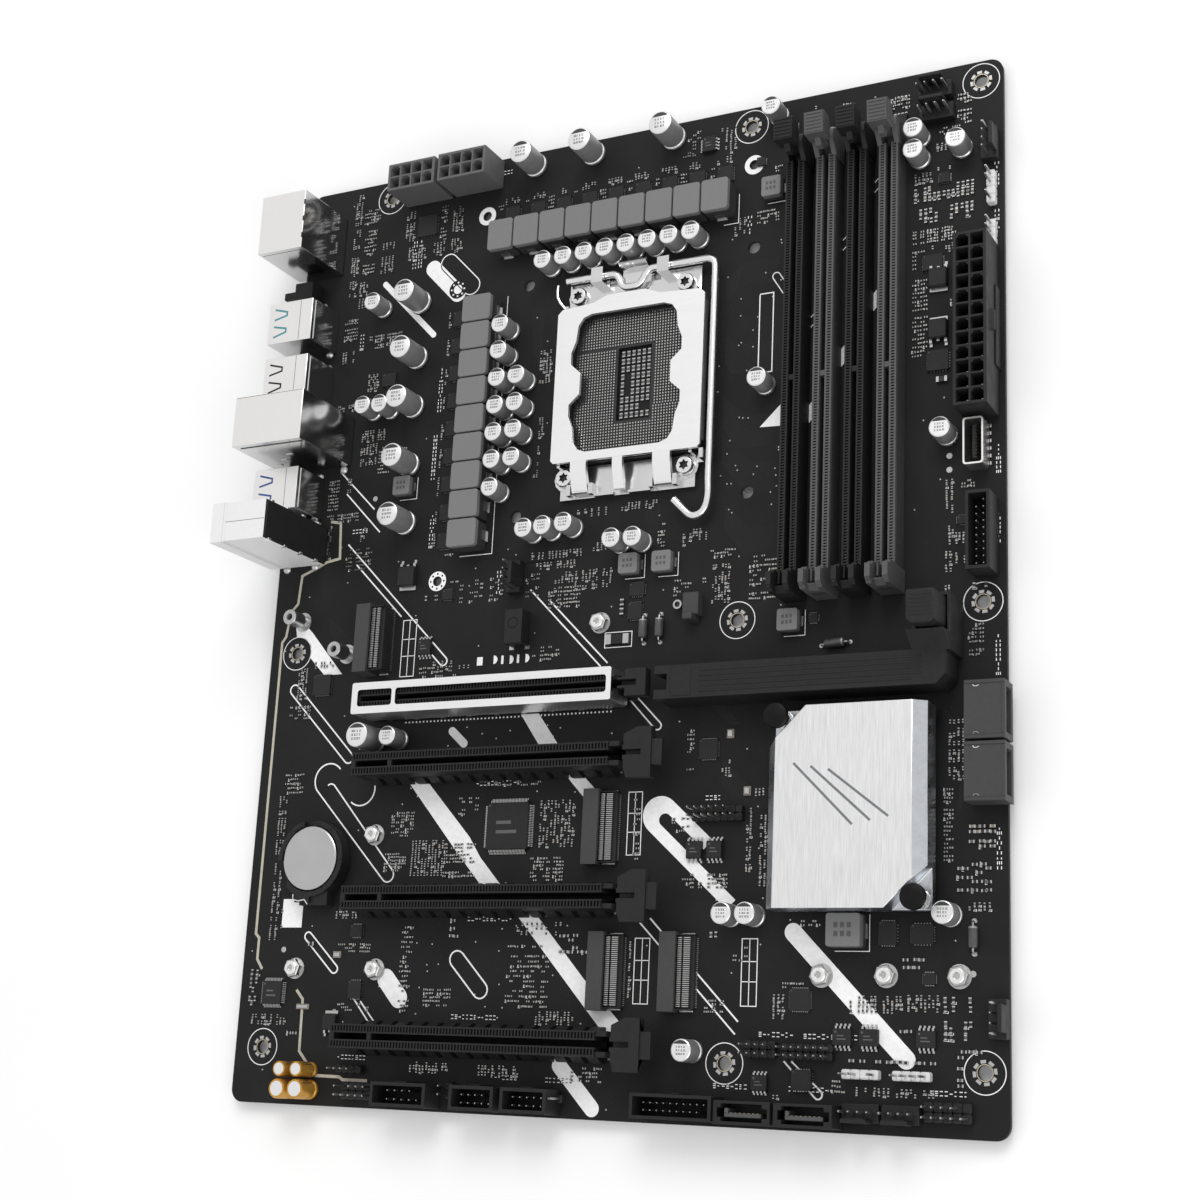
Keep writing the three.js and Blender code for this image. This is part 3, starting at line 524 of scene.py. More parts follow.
STRIPES = (
    # wide slanted stripes between the expansion slots
    [(-66, -54.2), (-59.2, -54.2), (-42.2, -72.4), (-38.0, -78.6), (-29.2, -88.2), (-36.0, -88.2), (-46.4, -76.8)],
    [(-26.9, -35.6), (-20.8, -35.6), (-12.7, -46.6), (-19.2, -46.6)],
    [(-10.6, -54.6), (-5.0, -54.6), (2.2, -61.8), (-3.8, -61.8)],
    [(-24.8, -95.2), (-18.2, -95.2), (-1.4, -113.6), (9.8, -124.6), (13.8, -129.2), (6.2, -129.2), (-6.6, -115.2)],
)
MORE_STRIPES = (
    # beside the rear upper mounting hole of the lower half, and a plain rectangle under the coin cell
    [(-93.6, -19.2), (-106.6, -4.6), (-108.8, -2.6), (-113.2, -2.6), (-112.6, -5.7), (-110.2, -5.9), (-107.6, -7.6),
     (-106.3, -10.4), (-106.4, -13.2), (-100.4, -19.2)],
    rectangle(-108.6, -101.0, -99.4, -90.6),
)
# x, y, length, width, turn
BARS = ((-9.4, -136.4, 20.4, 4.6, -46), (-51.8, -38.8, 8.6, 2.6, -42), (60.6, -98.6, 51, 5.0, -45.5),
        (-70.4, -112.4, 13.5, 6.0, -48), (-89.7, 115.4, 31.6, 2.0, -45.7), (-72.2, 119.4, 20.5, 5.6, -46))
STADIUMS = ((54.2, 92.0, 8.6, 2.4, -58, 0.3), (-39.6, -113.0, 17.2, 5.0, -46), (-100.0, -35.0, 36.0, 3.4, -45),
            (-92.8, -107.0, 17.0, 2.6, -43))
LINES = (
    [(-100.8, 49.6), (-86.2, 35.2)],
    [(-97.6, 41.6), (-83.4, 27.2)],
    [(-95.3, 24.1)] + arc(-55.9, -17.3, 1.4, 8, 45, -180) + [(-60.2, -15.0)],
    [(-91.4, 16.9), (-72.6, -1.8)],
    [(-26.1, 3.3), (-0.6, -22.4)],
    [(-19.4, -0.4), (1.6, -21.4)],
    [(-77.0, -121.4), (-70.2, -128.8)],
    [(-80.6, -119.4), (-72.4, -128.8)],
    [(9.6, -33.0)] + arc(18.9, -41.2, 1.2, 8, 225, 180) + [(12.2, -32.6)],
    [(15.0, -97.0), (46.0, -128.0)],
    [(19.0, -96.6), (46.8, -124.6)],
    [(60.4, -134.6)] + arc(70.3, -143.0, 1.2, 8, 225, 180) + [(62.6, -134.6)],
    (arc(-95.2, -53.4, 5.3, 16, 40, 175) + arc(-70.6, -83.4, 2.2, 10, 215, 180)
     + arc(-94.2, -56.4, 1.8, 10, 45, 175)[:6]),
    arc(-82.8, -56.6, 5.2, 14, -130, 150),
)
# x0, x1, y0, y1 of the outlined tables beside the drive sockets
TABLES = ((10.6, 15.0, -78.6, -60.4), (14.6, 19.2, -120.4, -102.2), (47.4, 52.0, -120.4, -102.2),
          (-71.6, -66.6, -21.4, -3.2))
# x, y, count, turn of rows of paired dashes where a real board has its legends
DASH_ROWS = ((-57.0, 146.8, 12, 0), (-64.0, 43.0, 12, 90), (-63.0, 20.0, 9, 90), (-41.0, -56.9, 12, 0),
             (-41.0, -97.4, 12, 0), (-44.6, -125.9, 12, 0), (-63.4, 66.0, 12, 90), (-75.2, 118.6, 8, 90),
             (-77.4, 118.6, 8, 90), (120.2, 62.0, 8, 90), (120.6, 25.0, 7, 90), (120.4, 5.0, 7, 90),
             (120.2, -32.0, 9, 90), (120.2, -84.0, 9, 90), (62.0, -142.4, 9, 0), (40.0, -142.4, 8, 0),
             (101.0, -142.0, 8, 0), (35.0, -63.4, 4, 0), (-83.6, -138.6, 8, 0), (-30.0, -142.6, 7, 0),
             (-12.0, -142.8, 7, 0), (23.0, -145.8, 6, 0), (66.0, -128.6, 12, 0), (53.0, -128.4, 8, 0),
             (120.6, 112.0, 6, 90), (120.6, 97.0, 6, 90), (86.6, 144.6, 5, 0), (86.6, 139.0, 5, 0),
             (-37.0, 3.0, 6, 90), (-94.0, 27.6, 5, 0), (-96.0, 92.0, 5, 90), (44.0, 110.0, 5, 90))
THIN, HAIR = 0.25, 0.22


def white_print():
    form = Form()
    for x, y in MOUNT_HOLES:
        form.ring(x, y, 5.6, 5.35, 40, PRINT_LOW, PRINT_HIGH, "print")
    for x, y in RINGED_HOLES:
        if (x, y) != DARK_RING:
            form.ring(x, y, 3.2, 1.62, 32, PRINT_LOW, PRINT_HIGH, "print")
    for outline in STRIPES:
        form.printed(outline)
    for settings in BARS:
        bar(form, *settings)
    stadium(form, -59.6, 113.6, 19.5, 6.4, -46, 0.35)
    for outline in MORE_STRIPES:
        form.printed(outline)

    # The folded stripe beside the security header.
    with form.at(21.0, -67.4, 0, -42):
        outer = arc(0, 0, 5.6, 14, 90, 180) + [(34.0, -5.6), (34.0, -1.9)]
        inner = [(2.0, -1.9)] + arc(2.0, 0, 1.9, 10, -90, -180) + [(17.0, 1.9), (17.0, 5.6)]
        form.plate(outer + inner, [], PRINT_LOW, PRINT_HIGH, "print")

    for settings in STADIUMS:
        stadium(form, *settings)
    for points in LINES:
        form.line(points)
    form.line([(47.4, 89.5), (51.8, 89.5), (51.8, 64.2), (47.4, 64.2), (47.4, 89.3)], 0.35)
    form.printed([(48.4, 47.0), (54.9, 46.7), (54.9, 53.4)])

    # Small ticks and short slanted stripes between the memory slots.
    for x, y in ((64.2, 76.0), (73.8, 99.0), (83.5, 116.0), (93.3, 131.0)):
        for rise in (0, 3.2):
            form.line([(x - 0.7, y + rise), (x + 0.9, y + 1.6 + rise)], 0.3)
    for x, y in ((64.2, 46.0), (73.8, 62.0), (83.5, 78.0)):
        form.printed([(x - 0.7, y), (x + 0.7, y + 1.6), (x + 0.7, y + 7.2), (x - 0.7, y + 5.6)])

    for x0, x1, y0, y1 in TABLES:
        form.line(rectangle(x0, x1, y0, y1), THIN, closed=True)
        form.line([((x0 + x1) / 2, y0), ((x0 + x1) / 2, y1)], HAIR)
        for y in (y0 + (y1 - y0) * share for share in (0.36, 0.66)):
            form.line([(x0, y), (x1, y)], HAIR)
    form.line(rectangle(0.4, 9.3, -16.8, -12.2), THIN, closed=True)

    # Half-round marks above the first slot.
    for x, y in ((-37.2, -18.0), (-31.5, -18.3), (-26.0, -18.2)):
        form.printed(arc(x - 0.5, y, 1.35, 10, -90, 180))
    for x, wide in ((-42.6, 1.0), (-34.6, 0.4), (-29.1, 0.4)):
        form.printed(rectangle(x - wide, x + wide, y - 1.3, y + 1.3))

    # Corner outlines beside the power chokes.
    x0, x1, y0, y1, _, _ = limits("vrm_chokes_top")
    form.line([(x1 + 0.9, y1 - 3), (x1 + 0.9, y0 - 2.2), (x1 - 4, y0 - 2.2)], HAIR)
    x0, x1, y0, y1, _, _ = limits("vrm_chokes_rear")
    form.line([(x1 + 2.3, y1 + 1), (x1 + 2.3, y0 - 1.2), (x0 + 1, y0 - 1.2)], HAIR)

    for x, y, count, turn in DASH_ROWS:
        with form.at(x, y, 0, turn):
            for k in range(count):
                left, wide = k * 1.3, rng.choice((0.5, 0.8, 0.8))
                for rise in ((0.0, 1.05), (0.0, 0.55, 1.05), (0.5,))[rng.choice((0, 0, 1, 2))]:
                    form.printed(rectangle(left, left + wide, rise, rise + 0.24))
    piece("white_print", form)


def audio_border():
    """The pale line that fences off the sound section."""
    form = Form()
    for route in (
            [(-103.0, 32.6), (-99.0, 31.8), (-98.2, 19.6), (-103.2, 18.8), (-106.2, 17.4), (-112.6, 14.9),
             (-113.3, 5.4), (-115.8, 2.8), (-116.9, -5.3), (-118.3, -7.3), (-118.2, -101.3), (-116.8, -102.6),
             (-116.8, -109.2), (-114.6, -112.2)],
            [(-100.8, -118.4), (-98.2, -121.2), (-97.9, -136.7), (-91.4, -143.7), (-82.6, -143.8), (-81.2, -144.6),
             (-72.4, -144.6)]):
        form.ribbon(route, 0.9, PRINT_LOW, PRINT_HIGH + 0.01, "audio_border")
    piece("audio_border", form)


# start, steps, count, pitch, side to which the tracks follow each other
TRACKS = (
    ((36.5, 96), [(5, 5), (12, 0)], 20, 0.42, (0, -1)), ((36.5, 78), [(4, -4), (13, 0)], 22, 0.42, (0, -1)),
    ((36.5, 58), [(7, -7), (10, 0)], 24, 0.42, (0, -1)), ((36.5, 46), [(10, -10), (8, 0)], 22, 0.42, (0, -1)),
    ((38, 24), [(8, -8), (8, 0)], 18, 0.42, (0, -1)), ((-24, 78), [(-3, 5), (0, 14)], 9, 0.5, (-1, 0)),
    ((-14, 29), [(0, -8), (-9, -9), (-12, 0)], 12, 0.45, (1, 0)), ((12, 27), [(0, -12), (8, -8)], 12, 0.45, (1, 0)),
    ((40, -52), [(8, -8), (6, 0)], 16, 0.45, (0, -1)), ((32, -26), [(0, -6), (10, -10)], 12, 0.45, (1, 0)),
    ((-70, -60), [(10, -10), (14, 0)], 10, 0.5, (0, -1)), ((20, -88), [(10, -4), (26, 0)], 12, 0.45, (0, -1)),
    ((104, -40), [(6, -6), (0, -20)], 8, 0.5, (0, -1)), ((-100, 0), [(8, -8), (8, 0)], 10, 0.5, (0, -1)),
)


def traces():
    """Bundles of buried tracks that show faintly through the mask."""
    form = Form()
    for start, steps, count, pitch, side in TRACKS:
        for k in range(count):
            x, y = start[0] + side[0] * pitch * k, start[1] + side[1] * pitch * k
            route = [(x, y)]
            for dx, dy in steps:
                grow = pitch * k * 0.42
                x, y = x + dx - math.copysign(grow, dx) * (dy != 0) * 0.5, y + dy
                route.append((x, y))
            form.ribbon(route, 0.14, -0.01, 0.016, "mask_trace")
    piece("buried_tracks", form)


def hole_pads():
    """Petal-shaped pads round the mounting holes, dots round the heatsink holes, and test pads."""
    form = Form()
    for x, y in MOUNT_HOLES:
        for k in range(8):
            with form.at(x, y, 0, 45 * k + 12):
                form.prism([(2.35, -0.75), (3.15, -0.95), (3.3, 0.55), (2.45, 0.6)], -0.01, 0.05, "tin")
        form.ring(x, y, 2.25, 1.99, 32, -0.01, 0.03, "gold")
    form.ring(*DARK_RING, 3.3, 1.62, 32, 0.03, 0.045, "mask")
    for x, y in RINGED_HOLES[2:]:
        for px, py in circle(x, y, 2.4, 8):
            form.lathe(px, py, [(0.36, 0), (0.34, 0.055)], "print" if (x, y) == DARK_RING else "mask", 8)
    for k in range(56):
        form.lathe(-68.0 + 1.3 * k, -36.2, [(0.32, -0.01), (0.28, 0.05)], "print", 8)
    for x, y in ((-86.2, 38.8), (-107.0, -106.2), (112.4, -111.0), (98.6, -86.0), (106.0, 31.5), (106.0, 27.4)):
        form.lathe(x, y, [(0.9, -0.01), (0.85, 0.04)], "tin", 18)
    piece("bare_pads", form)


for build in (board, through_joints, white_print, audio_border, traces, hole_pads):
    build()


# ================================================================= processor socket
def socket_body():
    form = Form(0)
    x0, x1, y0, y1, z0, z1 = limits("cpu_socket")
    field, wall, floor = z0 + 2.0, 2.2, z0 + 0.5
    cavity = (SOCKET_X - 4.4, SOCKET_X + 7.0, SOCKET_Y - 12.4, SOCKET_Y + 11.4)
    inner = rounded(*shrunk(x0, x1, y0, y1, wall), 1.2)
    form.plate(rounded(x0, x1, y0, y1, 1.0), [inner], z0, z1, "black_plastic")
    form.plate(inner, [rounded(*cavity, 0.3, 2)], z0 + 0.2, field, "contact_field", "black_plastic")
    form.block(*shrunk(*cavity, -0.1), z0, floor, "mask")
    for side in (x1 - 0.6, x0 + 0.6):
        form.box(side, SOCKET_Y, 0.5, 4, z1 - 0.2, z1 + 0.25, "black_plastic", 0.1)
    piece("socket_body", form, replaces=["cpu_socket"], bevel=0.12)

    # Spring contacts: a thin leaning blade for each, in a close grid.
    contacts = Form(0)
    margin, pitch = wall + 0.6, 0.94
    columns, rows = (int((high - low - 2 * margin) / pitch) for low, high in ((x0, x1), (y0, y1)))
    for i in range(columns + 1):
        for j in range(rows + 1):
            x, y = x0 + margin + i * pitch, y0 + margin + j * pitch
            in_well = cavity[0] - 0.7 < x < cavity[1] + 0.7 and cavity[2] - 0.7 < y < cavity[3] + 0.7
            edge_gap = abs(y - (cavity[3] + 0.2)) < 0.5 and x < cavity[0]
            if in_well or edge_gap:
                continue
            lean = 0.34 if j > rows * 0.3 or i < columns * 0.45 else -0.34
            base = rectangle(x - 0.2, x + 0.2, y - 0.24, y + 0.24)
            contacts.skin([[(px, py, field - 0.05) for px, py in base],
                           [(px + lean * 0.5, py + abs(lean) * 0.5, field + 0.42) for px, py in base]], "tin")
    piece("socket_contacts", contacts, sharp=30)

    parts = Form(0)
    for i in range(6):
        for j in range(9):
            if not (i == 1 and 3 <= j <= 5 or j == 1 and i > 3):
                x, y = cavity[0] + 1.35 + i * 1.76, cavity[2] + 1.9 + j * 2.52
                chip_part(parts, x, y, 1.05, 1.75, 0.6, 90, "ceramic_dark", floor)
    piece("socket_cavity_parts", parts)


def chip_part(form, x, y, width, length, high, turn, body, z=0.0):
    """A two-ended surface part: its body between two tinned ends."""
    with form.at(x, y, z, turn):
        half, w, cap = length / 2, width / 2, length * 0.24
        form.block(-half + cap, half - cap, -w * 0.94, w * 0.94, 0, high * 0.94, body)
        for end in (-half, half - cap):
            form.block(end, end + cap, -w, w, 0, high, "tin")


socket_body()
# The load plate keeps the CAD shape, with rolled edges.
refine("load_plate", "steel", body="load_plate", bevel=0.32).modifiers["edge"].segments = 3
refine("socket_frame", "frame_steel", bevel=0.2)


def bent(start, corner, end, steps=8):
    """Points along a quadratic bend."""
    return [tuple((1 - t) ** 2 * a + 2 * t * (1 - t) * b + t * t * c for a, b, c in zip(start, corner, end))
            for t in (k / steps for k in range(steps + 1))]


def lever():
    """The bent wire that clamps the load plate, on the CAD lever's own centre line."""
    x0, x1, y0, y1, z0, z1 = limits("load_lever")
    z = (z0 + z1) / 2
    y, arm = y1 - 1.0, 34.1
    path = [(x0, y, z), (-8.0, y, z)] + bent((-1.4, y, z), (0.6, y, z), (1.6, y - 2.4, z))
    path += bent((1.6, y - 2.4, z), (2.6, y - 5.2, z), (4.6, y - 5.2, z))
    path += bent((7.0, y - 5.2, z), (9.0, y - 5.2, z), (10.2, y - 2.4, z))
    path += bent((10.2, y - 2.4, z), (11.4, y, z), (13.4, y, z))[1:] + [(22.0, y, z)]
    path += bent((arm - 3.4, y, z), (arm, y, z), (arm, y - 3.4, z)) + [(arm, 80.0, z), (arm, 55.0, z)]
    path += bent((arm, 31.0, z), (arm + 0.7, 22.6, z), (31.8, 21.0, z), 10)
    path += bent((31.8, 21.0, z), (29.4, 19.6, z), (27.2, 21.9, z), 8)[1:] + [(23.0, 26.1, z)]
    form = Form(0)
    form.tube(path, 1.16, "bright_steel", 16)
    piece("lever_wire", form, body="load_lever", replaces=["load_lever"], bevel=0.2, sharp=50)


lever()
black("socket_backplate", bevel=0.25)


def frame_screws():
    form = Form(0)
    for node in SCREWS:
        x, y = middle(node)
        low, high = limits(node)[4:]
        seat = high - 1.8
        rim = [[(px, py, z) for px, py in circle(x, y, r, 12)]
               for r, z in ((2.95, seat), (2.95, seat + 1.1), (2.6, high - 0.12), (2.1, high))]
        # The star recess is painted dark (choke_side) as shade in the hole.
        wide, narrow = circle(x, y, 1.75, 12), circle(x, y, 1.1, 12)
        recess = [[(*(wide if k % 2 else narrow)[k], z) for k in range(12)] for z in (high, high - 1.1)]
        form.skin(rim + recess, ["bright_steel"] * 4 + ["choke_side"], ("bright_steel", "choke_side"))
        form.lathe(x, y, [(1.4, low), (1.5, low + 0.2), (1.5, seat)], "bright_steel", 18)
    piece("socket_screws", form, replaces=SCREWS)


frame_screws()


def side_wire():
    """The thin bent wire at the frame's rear upper corner."""
    form = Form()
    form.tube([(-20.9, 102.2, 2.4), (-21.1, 100.4, 2.4), (-20.9, 98.2, 2.4), (-19.9, 96.2, 2.3),
               (-18.6, 94.6, 2.0), (-17.6, 93.4, 1.8)], 0.45, "bright_steel", 8)
    piece("frame_side_wire", form)


side_wire()


# ================================================================= power chokes and capacitors
CHOKES, CHOKE_SIZE = 9, 8.9


def choke_rows():
    form = Form()
    for node, along_x in (("vrm_chokes_top", True), ("vrm_chokes_rear", False)):
        x0, x1, y0, y1, z0, z1 = limits(node)
        low, high = z0 - TOP, z1 - TOP
        row, across = ((x0, x1), (y0, y1)) if along_x else ((y0, y1), (x0, x1))

        def placed(along, other):
            return along + other if along_x else other + along

        for k in range(CHOKES):
            start = row[0] + (row[1] - row[0] - CHOKE_SIZE) * k / (CHOKES - 1)
            box = placed((start, start + CHOKE_SIZE), across)
            form.prism(rounded(*shrunk(*box, 0.1), 0.8, 4), low, high - 1.6, "choke_side")
            form.prism(rounded(*box, 1.0, 5), high - 1.7, high, "choke_top", 0.18)
            centre = start + CHOKE_SIZE / 2
            for edge in (across[0] - 0.7, across[1] - 0.5):
                for half, near, far, foot, head in ((1.8, 0, 1.2, 0, 0.35), (1.6, 0.45, 0.75, 0.3, 2.6)):
                    form.block(*placed((centre - half, centre + half), (edge + near, edge + far)), foot, head, "tin")
    piece("power_chokes", form, replaces=["vrm_chokes_top", "vrm_chokes_rear"])


choke_rows()

LARGE_CAPS = [(-32.9, 147.4), (-11.6, 147.5), (16.9, 147.3), (-73.9, 105.6), (-73.6, 85.9), (-73.6, 68.9),
              (-73.7, 48.9), (-73.5, 29.2), (-78.3, -41.6)]
SMALL_CAPS = [(-24.3 + 7.35 * k, 109.6 + 0.14 * k) for k in range(8)]
SMALL_CAPS += [(-38.4, y) for y in (90.0, 81.0, 71.7, 62.5, 53.5, 44.5, 35.4)]
SMALL_CAPS += [(-31.3, y) for y in (71.7, 62.6, 53.7, 44.5)]
SMALL_CAPS += [(-88.2, 105.3), (-88.8, 68.9), (-82.2, 68.6), (-25.5, 20.9), (-18.9, 21.1), (-11.7, 21.4),
               (4.8, 14.9), (11.9, 14.7), (50.3, 59.8), (52.6, 147.4), (97.4, 130.8), (97.4, 124.0),
               (110.1, 125.1), (105.6, 37.4), (44.2, -96.0), (51.2, -96.0), (33.7, -132.9), (106.7, -95.9),
               (-69.3, -41.7)]


def can(form, x, y, r, high):
    """A solid-polymer capacitor: crimped sleeve, bright lid and a dark polarity segment."""
    profile = [(r * 0.90, 0.1), (r, 0.5), (r, 1.35), (r * 0.91, 1.65), (r * 0.91, 1.95), (r * 0.985, 2.25),
               (r * 0.985, high - 0.55), (r * 0.95, high - 0.18), (r * 0.86, high)]
    bands = ["can_ring"] * 3 + ["can_side"] * 4 + ["can_ring"]
    form.lathe(x, y, profile, bands, 28, ("black_plastic", "can_top"))
    form.lathe(x, y, [(r * 1.06, 0.0), (r * 1.06, 0.12)], "black_plastic", 20)
    with form.at(x, y, high):
        chord = arc(0, 0, r * 0.855, 14, 38, 104)
        form.prism(chord, -0.05, 0.02, "can_mark")
        for row in range(3):
            for k in range(4):
                wide = r * rng.choice((0.1, 0.15, 0.19))
                left = -r * 0.44 + k * r * 0.235
                for rise in (0.0, 0.095):
                    low = r * (0.2 - row * 0.3) + r * rise
                    form.block(left, left + wide, low, low + r * 0.055, -0.05, 0.012, "can_mark")


LARGE_CAN, SMALL_CAN = (4.0, 11.5), (3.15, 8.4)  # radius, height


def capacitors():
    large, small = Form(), Form()
    for x, y in LARGE_CAPS:
        can(large, x, y, *LARGE_CAN)
    for x, y in SMALL_CAPS:
        can(small, x, y, *SMALL_CAN)
    piece("capacitors_large", large)
    piece("capacitors_small", small)
    gold = Form()
    for x, y, r in ((-98.7, -142.2, 2.3), (-92.6, -142.1, 2.3), (-99.0, -148.0, 2.95), (-92.4, -147.9, 2.95)):
        high = 8.6
        gold.lathe(x, y, [(r * 0.93, 0.0), (r, 0.4), (r, 1.2), (r * 0.88, 1.6), (r * 0.88, 1.9), (r, 2.3),
                          (r, high - 0.5), (r * 0.93, high - 0.05), (r * 0.76, high)], "gold_sleeve", 28,
                   ("black_plastic", "gold_sleeve"))
        gold.lathe(x, y, [(r * 0.78, high - 0.1), (r * 0.74, high + 0.03)], "can_top", 28)
        for k in range(5):
            with gold.at(x, y, 0, 40 + 16 * k):
                gold.block(r - 0.03, r + 0.015, -0.2, 0.2, 3.0 + (k % 2), 7.4 - (k % 3) * 0.6, "gold_mark")
    piece("audio_capacitors", gold)


capacitors()


def coil(form, x0, x1, y0, y1, high):
    """A pressed square coil with a marked top and two tinned feet."""
    form.prism(rounded(x0, x1, y0, y1, 0.5, 3), 0, high * 0.45, "choke_side")
    form.prism(rounded(*shrunk(x0, x1, y0, y1, 0.05), 0.8, 4), high * 0.42, high, "coil_top", 0.15)
    cx, cy, w, d = (x0 + x1) / 2, (y0 + y1) / 2, x1 - x0, y1 - y0
    for row in range(2):
        for k in range(3):
            left, low = cx - w * (0.26 - k * 0.19), cy + d * (0.06 - 0.26 * row)
            form.block(left, left + w * 0.12, low, low + d * 0.16, high - 0.05, high + 0.012, "coil_mark")
    for foot in (x1 - 0.2, x0 - 0.5):
        form.block(foot, foot + 0.7, cy - d * 0.22, cy + d * 0.22, 0, 0.4, "tin")
    form.ribbon([(x1 + 1.0, y1), (x1 + 1.0, y0 - 0.8), (x0 + 1.0, y0 - 0.8)], 0.2, -0.01, 0.03, "print")


def coils():
    form = Form()
    for box in ((48.2, 54.6, 119.8, 126.4, 3.6), (5.2, 11.6, 4.8, 11.2, 3.4), (16.2, 22.6, 4.6, 11.0, 3.4),
                (56.6, 63.0, -16.4, -9.8, 3.6), (-77.6, -71.2, 38.0, 44.4, 3.4), (73.4, 83.2, -104.6, -95.6, 5.0)):
        coil(form, *box)
    piece("coils", form)


coils()


# ================================================================= memory slots
DIMM_RUNGS, CARD_RUNGS = 146, 84


def dimm_slots():
    for i in range(1, 5):
        node = f"dimm_slot_{i}"
        x0, x1, y0, y1, z0, z1 = limits(node)
        centre = (x0 + x1) / 2
        rail, core = ("black_plastic", "black_plastic") if i % 2 else ("grey_plastic", "slate_plastic")
        form = Form()
        low, high = z0 - TOP, 8.0
        start, end, key = -1.0, 127.5, 58.4
        # Each rail is two thin walls with a rung between every pair of contacts.
        for side in BOTH:
            lo, hi = pair(centre, side, 2.9, 0.8)
            # The top of the core is the floor of the groove, painted near-black as shade.
            form.block(lo, hi, start, end, low, high - 1.5, core, top="deep_plastic")
            form.block(lo, lo + 0.55, start, end, high - 1.6, high, rail, 0.06)
            form.block(hi - 0.55, hi, start, end, high - 1.6, high, rail, 0.06)
            middle_x = (lo + hi) / 2
            for k in range(DIMM_RUNGS + 1):
                y = start + 0.4 + (end - start - 0.8) * k / DIMM_RUNGS
                form.block(lo + 0.5, hi - 0.5, y - 0.2, y + 0.2, high - 1.6, high - 0.08, rail)
                if k < DIMM_RUNGS and abs(y - key) > 1.4:
                    form.box(middle_x, y + 0.43, 0.28, 0.13, high - 1.6, high - 0.9, "gold")
        # The floor of the middle channel is painted near-black as shade.
        form.block(centre - 1.0, centre + 1.0, start, end, low, 2.4, "deep_plastic")
        form.box(centre, key, 1.0, 0.8, low, high - 0.5, rail)
        piece(node + "_rails", form, sharp=30)

        # The lower guide tower: two cheeks, a back wall with a rounded notch, a sloped front.
        tower = Form()
        top_z = z1 - TOP
        for side in BOTH:
            lo, hi = pair(centre, side, 3.3, 1.75)
            cheek = [(y0, low), (start + 0.2, low), (start + 0.2, 12.2), (start - 1.0, 13.2), (start - 1.0, top_z),
                     (y0 + 1.6, top_z), (y0, top_z - 1.8)]
            tower.profile_x(cheek, lo, hi, rail)
            tower.block(centre + side * 1.0 - 0.3, centre + side * 1.0 + 0.3, y0 + 2.6, start, 6, 11.0, rail, 0.1)
        tower.profile_x([(y0, low), (y0 + 2.0, low), (y0 + 2.0, 11.6), (y0 + 1.4, 12.0), (y0, 10.4)],
                        centre - 1.8, centre + 1.8, rail)
        tower.block(centre - 1.8, centre + 1.8, y0 + 1.8, start + 0.1, low, 2.4, rail)
        tower.block(centre - 2.3, centre + 2.3, y0 - 0.04, y0 + 0.4, 5.4, 8.6, core, 0.2)
        tower.block(centre - 2.9, centre - 1.9, y0 + 0.6, y0 + 1.4, top_z - 0.4, top_z + 0.02, core)
        # The upper fork that holds the latch.
        for side in BOTH:
            lo, hi = pair(centre, side, 3.3, 1.9)
            tower.profile_x([(end - 0.6, low), (y1, low), (y1, 10.0), (y1 - 1.2, 11.0), (y1 - 3.6, 11.6),
                             (end - 0.6, high - 0.05)], lo, hi, rail)
        tower.block(centre - 3.3, centre + 3.3, end - 0.4, y1, low, 1.0, rail)
        piece(node + "_ends", tower, replaces=[node], bevel=0.16)


def dimm_latches():
    for i in range(1, 5):
        node = f"dimm_latch_{i}"
        name = "black_plastic" if i % 2 else "grey_plastic"
        refine(node, name, body=node, bevel=0.22)
        x0, x1, y0, y1, z0, z1 = limits(node)
        ridges = Form(0)
        for k in range(6):
            y = y0 + 2.5 + 1.1 * k
            z = z1 - 0.6 + 0.09 * (y - y0 - 2.1)
            ridges.block(x0 + 0.35, x1 - 0.35, y, y + 0.5, z - 0.2, z + 0.3, name, 0.1)
        piece(node + "_grip", ridges, body=node)


dimm_slots()
dimm_latches()


# ================================================================= expansion slots
def pcie_rails(form, y, x0, x1, high, gap):
    rail, depth = "black_plastic", 1.5
    for side in BOTH:
        lo, hi = pair(y, side, 3.5, gap)
        # The top of each core, the floor of its groove, is painted near-black as shade.
        form.block(x0, x1, lo, hi, 0.1, high - depth, rail, top="deep_plastic")
        form.block(x0, x1, lo, lo + 0.5, high - depth - 0.1, high, rail, 0.06)
        form.block(x0, x1, hi - 0.5, hi, high - depth - 0.1, high, rail, 0.06)
        middle_y = (lo + hi) / 2
        for k in range(CARD_RUNGS + 1):
            x = x0 + 0.5 + (x1 - x0 - 1.0) * k / CARD_RUNGS
            form.block(x - 0.24, x + 0.24, lo + 0.45, hi - 0.45, high - depth - 0.1, high - 0.06, rail)
            if k < CARD_RUNGS:
                form.box(x + 0.51, middle_y, 0.15, 0.3, high - depth - 0.1, high - depth + 0.55, "gold")
    # The first block is the floor of the middle channel, painted near-black as shade.
    for left, right, top, name in ((x0 + 0.4, x1 - 0.4, 3.0, "deep_plastic"), (x0, x0 + 1.6, high - 0.06, rail),
                                   (x0 + 13.2, x0 + 14.6, high - 0.2, rail)):
        form.block(left, right, y - gap - 0.05, y + gap + 0.05, 0.1, top, name)


